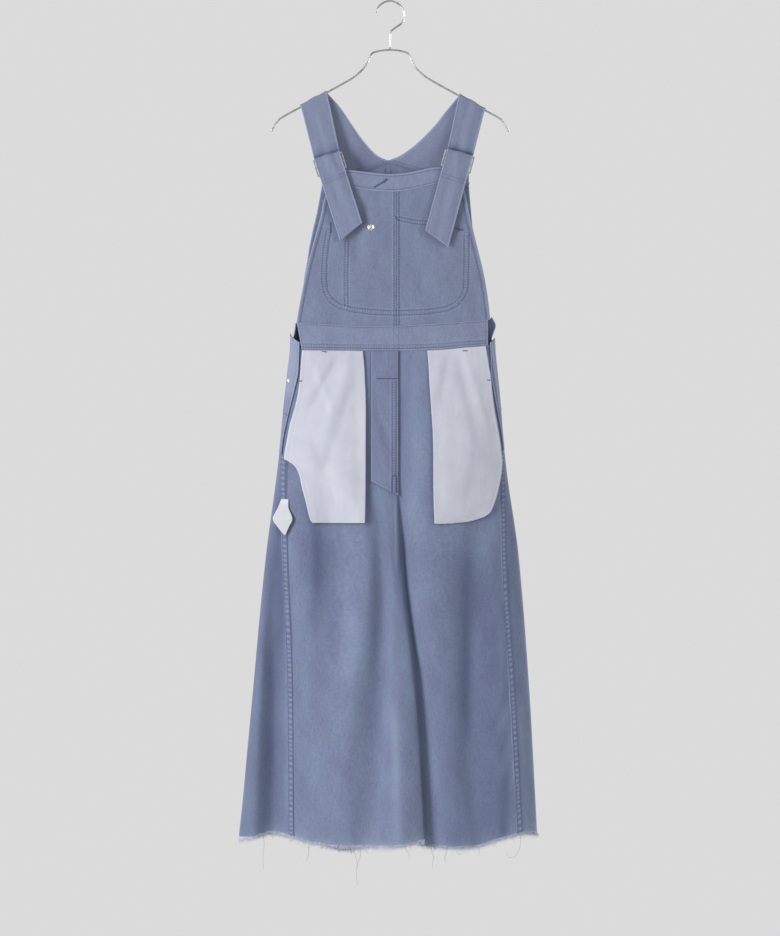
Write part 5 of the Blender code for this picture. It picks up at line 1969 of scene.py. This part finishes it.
@dataclass
class Hem:
    """The raw hem: short frayed ends all along, and a few long loose threads."""

    pitch: float = 0.62
    lengths: tuple = (2.2, 7.2)
    loose: tuple = (
        ((-214, -23, -1414), (-213, -24, -1432), (-215, -25, -1450), (-214, -24, -1470)),
        ((-61, -55, -1432), (-58, -56, -1444), (-55, -57, -1456), (-57, -56, -1470),
         (-55, -56, -1494)),
        ((-49, -57, -1434), (-50, -58, -1445), (-54, -57, -1457), (-55, -57, -1466)),
        ((70, -34, -1433), (71, -35, -1442), (74, -35, -1450), (71, -36, -1461), (73, -36, -1468)),
        ((220, -25, -1413), (221, -27, -1426), (217, -28, -1440), (209, -29, -1450),
         (201, -30, -1449), (197, -30, -1442)),
        ((-140, 30, -1436), (-139, 31, -1452), (-143, 32, -1464)),
        ((96, 46, -1436), (97, 48, -1450), (94, 49, -1462), (96, 49, -1470)),
        ((26, -58, -1428), (28, -60, -1436), (33, -60, -1442), (31, -60, -1449)),
        ((110, -37, -1434), (113, -38, -1441), (118, -38, -1444), (121, -38, -1440)),
        ((150, -35, -1431), (151, -37, -1438), (149, -38, -1446)))

    def build(self, skirt: Skirt) -> list[bpy.types.Object]:
        """Fray the hem of every panel.

        Args:
            skirt: Whose hem it is.

        Returns:
            The frayed edges and the loose threads.
        """
        made = []
        chance = np.random.default_rng(11)
        for name, first, last in skirt.panels:
            copies = Repeats(self.strand())
            us = np.linspace(first, last, 900)
            hem = skirt.points(us, np.ones_like(us))
            out = skirt.normals(us, np.ones_like(us))
            length = lengths_along(hem)
            for mark in np.arange(0.4, length[-1], self.pitch / 2):
                place, normal = (read_along(mark, length, values) for values in (hem, out))
                tangent = unit(np.cross((0.0, 0.0, 1.0), normal))
                long = chance.uniform(*self.lengths) * (1.8 if chance.random() < 0.12 else 1.0)
                long *= 0.9 + 0.35 * float(wander(mark / 11.0, first))
                on_face = chance.random() < 0.7
                root = place + normal * (TWILL / 2 + 0.25 if on_face else chance.uniform(-0.7, 0.6))
                root = root + np.array([0.0, 0.0, chance.uniform(1.0, 4.6) if on_face else 0.8])
                self.hang(copies, root, normal, tangent, long + on_face, chance)
            made.append(place_piece(f"fray_{name}_yarn", copies.finish(f"fray_{name}_yarn"),
                                    Finish.FRAYED_YARN, [f"fray_{name}"]))
        work = bmesh.new()
        for path in self.loose:
            thread = swept_wire("thread", smooth_path(path, 6), 0.35, 5, 0.6)
            work.from_mesh(thread)
            bpy.data.meshes.remove(thread)
        made.append(place_piece("loose_threads", smooth_mesh(work, "loose_threads"),
                                Finish.LOOSE_YARN))
        return made

    @staticmethod
    def strand() -> bmesh.types.BMesh:
        """One frayed end, standing down from the origin, 1 long, of radius 1 at its root.

        Returns:
            The strand, as a working mesh.
        """
        work = bmesh.new()
        bmesh.ops.create_cone(work, segments=3, radius1=0.4, radius2=1.0, depth=1.0,
                              cap_ends=True)
        bmesh.ops.translate(work, verts=work.verts, vec=(0.0, 0.0, -0.5))
        sides = [edge for edge in work.edges if abs(edge.verts[0].co.z - edge.verts[1].co.z) > 0.5]
        bmesh.ops.subdivide_edges(work, edges=sides, cuts=2, use_grid_fill=True)
        return work

    @staticmethod
    def hang(copies: Repeats, root: Array, normal: Array, tangent: Array, length: float,
             chance: np.random.Generator) -> None:
        """Hang one frayed end from the hem, bent in its own way.

        Args:
            copies: What it joins.
            root: Where it leaves the cloth.
            normal: The cloth's outward direction.
            tangent: The direction along the hem.
            length: Of the end, in mm.
            chance: Where the unevenness comes from.
        """
        radius = chance.uniform(0.32, 0.62)
        lean, curl, out = chance.normal(0, 0.35), chance.normal(0, 0.5), chance.normal(0.1, 0.3)
        drop = -copies.corners[:, 2]
        bend = (lean * drop + curl * drop**2) * length
        corners = (root + tangent * (bend + copies.corners[:, 0] * radius)[:, None]
                   + normal * (out * drop**2 * length + copies.corners[:, 1] * radius)[:, None]
                   - np.array([0.0, 0.0, 1.0]) * (drop * length * 0.95)[:, None])
        copies.add(corners)


@dataclass
class Waist:
    """Both waistbands, the facing strips of the side openings, and the button."""

    button_u: float = 1.3
    button_v: float = 0.067
    button_radius: float = 3.6
    flap_rise: float = 11.0
    end_slant: float = 8.2
    strip_turn: float = 1.5
    strip_reach: tuple = (0.37, -0.5)
    front_size: tuple = (318, 43)
    back_size: tuple = (380, 41)
    strip_size: tuple = (22, 180)

    def front_relief(self, s: Array, t: Array, point: Array) -> Raised:
        """The seam line at the top, two rows of stitches low down, and soft unevenness.

        Args:
            s: Share of the way across.
            t: Share of the way down.
            point: Points of the middle surface, in mm.

        Returns:
            The lift in mm, and the wear with its painted light and shade.
        """
        x, z = point[:, 0], point[:, 2]
        width, height = self.front_size
        up = height - t * height
        lift, wear_and_shade = stitched_edge(t * height, x, 2.2, 0.35)
        low_lift, low_wear_and_shade = quilted_line(np.abs(up - 6.0), x, 5.4, 0.3)
        edge_lift, edge_wear_and_shade = stitched_edge(up, x, 2.6, 0.3)
        end_lift, end_wear_and_shade = stitched_edge(np.minimum(s, 1 - s) * width, z, 3.0, 0.3)
        middle = felled_seam(x - BIB_SEAM_X, z, 12.0, 0.35)
        lift += low_lift + edge_lift + end_lift + middle[0] * 0.7
        lift += 0.5 * wander(x / 90.0, 2.0) * hump(t - 0.5, 0.3)
        return lift, np.clip(wear_and_shade * 0.6 + low_wear_and_shade + edge_wear_and_shade * 0.5 + end_wear_and_shade + middle[1] * 0.6,
                             -0.9, 0.9)

    def back_relief(self, s: Array, t: Array, point: Array) -> Raised:
        """Stitched top and bottom edges, with shallow waves along the band, and painted light in
        stripes on its shaded end at the right.

        Args:
            s: Share of the way across.
            t: Share of the way down.
            point: Points of the middle surface, in mm; not used.

        Returns:
            The lift in mm, and the wear with its painted light and shade.
        """
        length, height = self.back_size
        along = s * length
        lift, wear_and_shade = stitched_edge(np.minimum(t, 1 - t) * height, along, 3.0, 0.4)
        lift += 0.8 * wander(along / 75.0, 4.0) * hump(t - 0.5, 0.35)
        # Painted light: the band's end at the right, which lies in shade, is made paler, in
        # stripes.
        end = smooth_step((26.0 - along) / 8.0)
        return lift, wear_and_shade + end * (0.75 + 0.5 * np.sin(along / 1.3))

    def strip_relief(self, s: Array, t: Array, point: Array) -> Raised:
        """A turned edge on both sides, and a crosswise seam two thirds of the way down.

        Args:
            s: Share of the way across.
            t: Share of the way down.
            point: Points of the middle surface, in mm.

        Returns:
            The lift in mm, and the wear with its painted light and shade.
        """
        width, length = self.strip_size
        along = t * length
        lift, wear_and_shade = stitched_edge(np.minimum(s, 1 - s) * width, along, 2.8, 0.3)
        cross = hump(along - 118.0, 1.3)
        faded = (0.55 * smooth_step((105.0 - along) / 30.0)
                 * smooth_step((20.0 - point[:, 0]) / 10.0))
        return (lift + 0.5 * hump(along - 115.0, 2.0) - 0.3 * cross,
                np.minimum(wear_and_shade + faded, 1.0) - 0.6 * cross)

    def build(self, skirt: Skirt) -> dict[str, Sheet]:
        """The bands, strips and button.

        Args:
            skirt: Whose top they stand on.

        Returns:
            Each cloth piece with its cut, by name.
        """
        made = {}
        us = np.linspace(skirt.fold("seam_left"), skirt.fold("seam_right"), 31)
        bottom = skirt.points(us, np.zeros_like(us))
        bottom[0, 0] += SEAM_GAP / 2
        bottom[-1, 0] -= SEAM_GAP / 2
        bottom[:, 2] -= TUCKED
        grid = []
        for t in np.linspace(0.0, 1.0, 3):
            row = bottom.copy()
            row[:, 2] = waist_top(bottom[:, 0]) + (bottom[:, 2] - waist_top(bottom[:, 0])) * t
            row[:, 0] -= self.end_slant * (1 - t) * np.clip(-bottom[:, 0] / 150.0, 0.0, 1.0) ** 2
            row[:, 1] = front_y(row[:, 0], row[:, 2]) * (1 - t) + bottom[:, 1] * t
            grid.append(row)
        made["front"] = make_sheet("waistband_front_cloth", Form.through(np.array(grid), 1.6),
                                   DOUBLED_TWILL, Finish.BAND_TWILL, ["waistband_front"],
                                   self.front_relief)
        us = np.linspace(skirt.fold("edge_right") + 0.12, skirt.fold("edge_left", 1) - 0.12, 24)
        level = skirt.points(us, np.zeros_like(us))
        grid = []
        for t in np.linspace(0.0, 1.0, 5):
            row = level.copy()
            row[:, 2] = BACK_WAIST_TOP_Z + (level[:, 2] + SEAM_GAP - BACK_WAIST_TOP_Z) * t
            row[:, 0] *= 1.0 - 0.035 * (1 - t)
            end = np.clip(1.0 - (us - us[0]) / 0.7, 0.0, 1.0) ** 2
            row[:, 0] += 10.0 * end * math.sin(math.pi * min(1.0, 0.25 + t)) ** 2
            row[0, 2] += self.flap_rise * (1.0 - t) ** 2
            grid.append(row)
        made["back"] = make_sheet("waistband_back_cloth", Form.through(np.array(grid), 2.0),
                                  DOUBLED_TWILL, Finish.BAND_TWILL, ["waistband_back"],
                                  self.back_relief)
        outward = TWILL + SEAM_GAP + LAY_CLEARANCE
        ends = (("left", skirt.fold("edge_left") - 0.05, skirt.fold("seam_left") - 0.25,
                 -0.029, -0.014, self.strip_turn, 0.0, 0.0, self.strip_reach[0]),
                ("right", skirt.fold("seam_right") + 0.25, skirt.fold("edge_right") + 0.05,
                 -0.004, -0.014, 0.0, -self.strip_turn, self.strip_reach[1], 0.0))
        for name, first, last, top_first, top_last, turn_first, turn_last, *reach in ends:
            us = np.linspace(first, last, 8)
            tops = np.linspace(top_first, top_last, 8)
            v = np.array([tops + (0.215 - tops) * t for t in np.linspace(0.0, 1.0, 8)])
            turns = np.linspace(turn_first, turn_last, 8)
            down = np.linspace(0.0, 1.0, 8)[:, None]
            u = us + turns * down**3
            u = u + np.linspace(*reach, 8) * (smooth_step(down / 0.3) - 0.6 * down**3)
            grid = skirt.points(u, v) + skirt.normals(u, np.maximum(v, 0.005)) * outward
            made[f"strip_{name}"] = make_sheet(
                f"placket_{name}_cloth", Form.through(grid, 1.3, 2, 2.2), TWILL,
                Finish.BAND_TWILL, [f"placket_{name}"], self.strip_relief)
        u, v = np.array(self.button_u), np.array(self.button_v)
        normal = skirt.normals(u, v)
        centre = skirt.points(u, v) + normal * (outward + TWILL / 2 + 0.1)
        r = self.button_radius
        profile = ((0.0, 1.7), (0.5 * r, 1.6), (0.8 * r, 1.2), (r, 0.6), (0.96 * r, 0.0),
                   (0, 0))
        place_piece("side_button_metal", turned_metal("side_button_metal", profile, centre, normal),
                    Finish.NICKEL, ["side_button"])
        return made

    def sew(self, front: bpy.types.Object, back: bpy.types.Object) -> bpy.types.Object:
        """The waistbands' rows of stitches.

        Args:
            front: The front band.
            back: The back band.

        Returns:
            The stitches.
        """
        sewing = Sewing()
        face = Face([front])
        for above in (3.3, 8.7):
            path = [(-145.0, -591.2 + above), (-60.0, -592.2 + above), (20.0, -592.8 + above),
                    (80.0, -591.0 + above), (158.0, -585.5 + above)]
            sewing.row(*face.trace(path))
        sewing.row(*face.trace([(x, waist_top(x) - 2.2) for x in np.linspace(-147, 164, 12)]))
        face = Face([back], False)
        for z in (BACK_WAIST_TOP_Z - 3.0, -583.5):
            sewing.row(*face.trace([(-150.0, z), (0.0, z), (150.0, z)]))
        return sewing.finish("waistband_stitching", Finish.THREAD)


# What lies on the front


@dataclass
class FrontPieces:
    """The pocket bags, the fly's facing and the care label, laid over the skirt's front.

    Rows of tables are height, left and right.
    """

    bag_left: tuple = ((-592.9, -148.6, -46), (-617, -150.5, -43.5), (-643, -152.5, -42),
                       (-668, -156, -41), (-690, -161, -40.6), (-719, -169.3, -40.6),
                       (-745, -174.3, -40.7), (-774.5, -179, -40.8), (-780, -173, -40.8),
                       (-787, -163, -40.8), (-796, -156.4, -40.8), (-808, -152, -41),
                       (-821, -149.6, -41), (-847, -142.8, -41.3), (-876, -136, -41.8),
                       (-885, -131, -42.5))
    bag_right: tuple = ((-592.3, 63, 162), (-617, 65, 166.5), (-643, 66.3, 171),
                        (-668, 68, 173.5), (-694, 69.7, 177), (-719, 71.4, 181.5),
                        (-745, 72.6, 186), (-767, 73.1, 188.6), (-783, 73.1, 190.2),
                        (-808, 73.1, 187.5), (-838, 73.3, 181), (-860, 74, 173.4),
                        (-870, 74.3, 166.6), (-877, 74.8, 153), (-882, 74.8, 134),
                        (-885.7, 74.8, 102))
    shield: tuple = (-31.5, 14.4, -594.2, -814.3, -839)
    label_rows: tuple = ((-845, -184, -172), (-860, -190, -171.5),
                         (-878, -198, -165), (-892, -190, -171),
                         (-905, -179.5, -177))
    label_lifts: tuple = (0, 1, 4, 4.5, 4)
    left_creases: tuple = (
        Crease(-86, -600, -140, -700, 7, -1.4), Crease(-70, -610, -120, -760, 10, 1.1),
        Crease(-60, -640, -112, -800, 8, -1), Crease(-128, -620, -96, -700, 7, 1.2),
        Crease(-96, -720, -84, -860, 14, 1), Crease(-134, -740, -110, -800, 8, -1),
        Crease(-60, -600, -54, -870, 9, -0.7))
    right_creases: tuple = (
        Crease(100, -598, 84, -680, 7, -1.2), Crease(112, -600, 152, -760, 9, -1.2),
        Crease(126, -600, 168, -740, 8, 1), Crease(92, -700, 96, -870, 12, 0.9),
        Crease(150, -760, 128, -860, 12, -0.9))
    shield_folds: tuple = (Crease(-24, -690, 0, -760, 8, -0.9), Crease(-22, -720, -6, -800, 7, 0.8))
    slot_corners: tuple = ((3.2, -833), (3.2, -810), (5.4, -804.5), (9, -804.5),
                           (11.2, -810), (11.2, -833))
    left_tacks: tuple = (((-115, -594.6), (-107, -596)), ((-155, -645), (-149, -645)))
    right_tacks: tuple = (((123, -594), (131, -593.8)), ((165, -643.5), (170, -643.5)))
    bag_size: tuple = (112, 292)
    shield_size: tuple = (46, 235)
    bag_drop: float = 1.8
    bag_hang: float = 4.0

    def laid(self, face: Face, xs: Array, zs: Array, away: Array) -> Array:
        """Points over the skirt's front, moved out from the cloth's own face.

        Args:
            face: The cloth that they lie on.
            xs: Across, in mm.
            zs: Up, in mm.
            away: How far each is moved out, in mm.

        Returns:
            The points, in mm.
        """
        place = np.zeros(xs.shape + (3,))
        for index in np.ndindex(xs.shape):
            point, normal = face.at(xs[index], zs[index])
            facing = max(0.6, abs(normal[1]))
            place[index] = (xs[index], point[1] - away[index] / facing, zs[index])
        return place

    def build(self, face: Face) -> dict[str, Sheet]:
        """Lay all of them.

        Args:
            face: The skirt's front panels.

        Returns:
            Each piece with its cut, by name.
        """
        made = {}
        for name, table, inner_is_right, creases in (
                ("left", self.bag_left, True, self.left_creases),
                ("right", self.bag_right, False, self.right_creases)):
            columns = 10
            zs = np.array([[row[0]] * columns for row in table])
            xs = np.array([np.linspace(row[1], row[2], columns) for row in table])
            down = (table[0][0] - zs) / (table[0][0] - table[-1][0])
            across = np.linspace(0, 1, columns) if inner_is_right else np.linspace(1, 0, columns)
            away = (SEAM_GAP + POCKETING / 2 + LAY_CLEARANCE
                    + self.bag_hang * down * np.maximum(across, 0.25)[None, :])
            zs = zs + (waist_low(xs) - self.bag_drop - table[0][0]) * (1.0 - down) ** 6
            form = Form.through(self.laid(face, xs, zs, away), 2.2)
            made[f"bag_{name}"] = make_sheet(
                f"pocket_bag_{name}_cotton", form, POCKETING, Finish.POCKET_COTTON,
                [f"pocket_bag_{name}"], self.bag_relief(creases, inner_is_right))
        left, right, top, low_left, low_right = self.shield
        shares = np.linspace(0.0, 1.0, 5)
        bottom = low_left + (low_right - low_left) * shares
        xs = np.tile(left + (right - left) * shares, (10, 1))
        zs = np.array([top + (bottom - top) * t for t in np.linspace(0.0, 1.0, 10)])
        away = np.full(xs.shape, TWILL / 2 + SEAM_GAP + 1.5 * LAY_CLEARANCE)
        made["shield"] = make_sheet("fly_shield_cloth",
                                    Form.through(self.laid(face, xs, zs, away), 1.6), TWILL,
                                    Finish.FLY_TWILL, ["fly_shield"], self.shield_relief)
        xs = np.array([np.linspace(low, high, 3) for _, low, high in self.label_rows])
        zs = np.array([[z] * 3 for z, _, _ in self.label_rows])
        place = self.laid(face, xs, zs, np.full(xs.shape, SEAM_GAP + LABEL_CLOTH / 2))
        for k, lift in enumerate(self.label_lifts):
            if lift > 0:
                place[k, :, 1] = place[k, :, 1].min() - lift
        made["label"] = make_sheet("care_label_satin", Form.through(place, 1.5), LABEL_CLOTH,
                                   Finish.LABEL_SATIN, ["care_label"])
        return made

    def bag_relief(self, creases: Sequence[Crease], inner_is_right: bool) -> Relief:
        """The relief of one pocket bag: creases with painted shade and highlight, and a raised seam
        round its open edges.

        Args:
            creases: The bag's creases.
            inner_is_right: Whether its inner edge is at the right.

        Returns:
            The relief.
        """

        def relief(s: Array, t: Array, point: Array) -> Raised:
            """The bag's lift, and its painted shade and highlight from the creases.

            Args:
                s: Share of the way across.
                t: Share of the way down.
                point: Points of the middle surface, in mm.

            Returns:
                The lift in mm, and the wear with its painted light and shade.
            """
            x, z = point[:, 0], point[:, 2]
            lift = 1.15 * crease_lift(x, z, creases)
            lift += 0.3 * wander(x / 19.0 + z / 45.0, 2.0) * wander(z / 31.0 - x / 80.0, 5.0)
            outer = s if inner_is_right else 1 - s
            edge = np.minimum(outer * self.bag_size[0], (1 - t) * self.bag_size[1])
            seam = hump(edge - 1.0, 1.6)
            row = hump(edge - 5.0, 1.0) * (0.5 + 0.5 * pucker(x + z))
            lift += 0.35 * seam - 0.35 * row
            # Paler along the edge seam, darker along the puckered row of stitches, and painted
            # shade in the creases' troughs with painted highlight on their ridges.
            return lift, 0.5 * seam - 0.7 * row + 0.3 * crease_lift(x, z, creases)

        return relief

    def shield_relief(self, s: Array, t: Array, point: Array) -> Raised:
        """The facing's fold at the left, its twin rows at the right, and its cross stitching.

        Args:
            s: Share of the way across.
            t: Share of the way down.
            point: Points of the middle surface, in mm.

        Returns:
            The lift in mm, and the wear with its painted light and shade.
        """
        x, z = point[:, 0], point[:, 2]
        width, length = self.shield_size
        lift, _ = stitched_edge(s * width, z, 30.0, 0.2)
        wear_and_shade = 0.5 * hump(s * width, 1.4)
        twin_lift, twin_wear_and_shade = quilted_line(np.abs(x - 7.0), z, 6.5, 0.5)
        inside = smooth_step((-640.0 - z) / 8.0)
        cross = hump(z + 641.0, 1.0) * smooth_step((x + 24.0) / 3.0)
        end = hump((1 - t) * length, 1.6)
        lift += crease_lift(x, z, self.shield_folds)
        return (lift + inside * twin_lift - 0.4 * cross + 0.3 * end,
                wear_and_shade + inside * twin_wear_and_shade - 0.7 * cross + 0.5 * end)

    def sew(self, made: dict[str, Sheet]) -> list[bpy.types.Object]:
        """Stitches and bartacks of the fly and the pocket bags.

        Args:
            made: The laid pieces, by name.

        Returns:
            The rows of stitches, and the bartacks.
        """
        shield = Face([made["shield"][0]])
        rows = Sewing()
        for x in (3.7, 10.3):
            rows.row(*shield.trace([(x, -646.0), (x, -808.0)]))
        rows.row(*shield.trace([(-24.0, -641.0), (12.0, -641.0)]))
        tacks = Sewing()
        for start, end in zip(self.slot_corners, self.slot_corners[1:]):
            tacks.bartack(shield, start, end, 1.9)
        tacks.bartack(shield, (-22.0, -641.0), (12.0, -641.0), 1.6, 1.4)
        for name, ends in (("bag_left", self.left_tacks), ("bag_right", self.right_tacks)):
            bag = Face([made[name][0]])
            for start, end in ends:
                tacks.bartack(bag, start, end, 2.0)
        return [rows.finish("fly_stitching", Finish.THREAD),
                tacks.finish("fly_and_pocket_bartacks", Finish.DARK_THREAD)]


# Studio


@dataclass(frozen=True)
class Studio:
    """A camera level with the middle of the garment, a pale world, soft lamps and a floor."""

    camera_y: float = -4.862
    camera_z: float = -0.7922
    lens: float = 110.0
    backdrop: str = "#DBDBDB"
    ambient: float = 0.42
    floor_z: float = -1.95
    floor_radius: float = 1.3
    floor: Surface = Surface("matt_painted_board", "#E2E2E1")
    lamps: tuple = (("key", (-3.13, -2.09, -0.24), (1.3, 2.9), 134.0),
                    ("fill", (2.6, -2.0, 0.4), (1.4, 2.2), 40.0),
                    ("back_key", (2.9, 2.7, 0.1), (1.3, 2.6), 105.0),
                    ("back_fill", (-2.7, 2.6, 0.3), (1.3, 2.2), 21.0))

    def build(self) -> None:
        """Place the camera, the light and the floor."""
        scene = bpy.context.scene
        scene.view_settings.view_transform = "Standard"
        lens = bpy.data.cameras.new("camera")
        lens.lens = self.lens
        camera = bpy.data.objects.new("camera", lens)
        camera.location = (0.0, self.camera_y, self.camera_z)
        camera.rotation_euler = (math.pi / 2, 0.0, 0.0)
        scene.collection.objects.link(camera)
        scene.camera = camera
        world = bpy.data.worlds.new("pale_studio")
        world.use_nodes = True
        graph = Graph(world.node_tree)
        seen = graph.add("ShaderNodeLightPath", output="Is Camera Ray")
        graph.feed(world.node_tree.nodes["Background"], {
            "Color": linear(self.backdrop),
            "Strength": graph.span(seen, 0.0, 1.0, self.ambient, 1.0)})
        scene.world = world
        for lamp in self.lamps:
            self.lamp(*lamp)
        work = bmesh.new()
        bmesh.ops.create_circle(work, cap_ends=True, segments=96, radius=self.floor_radius)
        bmesh.ops.translate(work, verts=work.verts, vec=(0.0, 0.0, self.floor_z))
        floor = bpy.data.objects.new("floor", smooth_mesh(work, "floor"))
        scene.collection.objects.link(floor)
        floor.data.materials.append(self.floor.material())

    def lamp(self, name: str, place: tuple[float, float, float], size: tuple[float, float],
             power: float) -> None:
        """A tall soft lamp that looks at the middle of the garment.

        Args:
            name: The lamp's name.
            place: Where it stands, in metres.
            size: Its width and height, in metres.
            power: In watts.
        """
        light = bpy.data.lights.new(name, "AREA")
        light.shape = "RECTANGLE"
        light.size, light.size_y = size
        light.energy = power
        lamp = bpy.data.objects.new(name, light)
        lamp.location = place
        aim = Vector((0.0, 0.0, -0.8)) - Vector(place)
        lamp.rotation_euler = aim.to_track_quat("-Z", "Y").to_euler()
        bpy.context.scene.collection.objects.link(lamp)


def main() -> None:
    """Dress the hanger and the garment, piece by piece."""
    logging.basicConfig(level=logging.INFO, format="%(message)s")
    Studio().build()
    hanger = Hanger()
    hanger.build()
    skirt = Skirt()
    panels = skirt.build()
    bib = Bib()
    cloth = bib.build()
    sewn = bib.sew([cloth["bib_left"][0], cloth["bib_right"][0]], cloth["band"][0])
    back = Back()
    back_panel, back_cut = back.build()
    waist = Waist()
    bands = waist.build(skirt)
    waist_rows = waist.sew(bands["front"][0], bands["back"][0])
    straps = [strap.build(hanger) for strap in STRAPS]
    yoke_bands = back.bands()
    yokes = [band for band, _ in yoke_bands]
    back_rows = back.sew([back_panel, straps[0][0], straps[1][0], *yokes])
    front = FrontPieces()
    laid = front.build(Face([panels[name][0] for name in ("front_left", "front_right",
                                                          "back_left", "back_right")]))
    fly_rows, fly_tacks = front.sew(laid)
    seams = skirt.sew()
    hem = Hem().build(skirt)


if __name__ == "__main__":
    main()
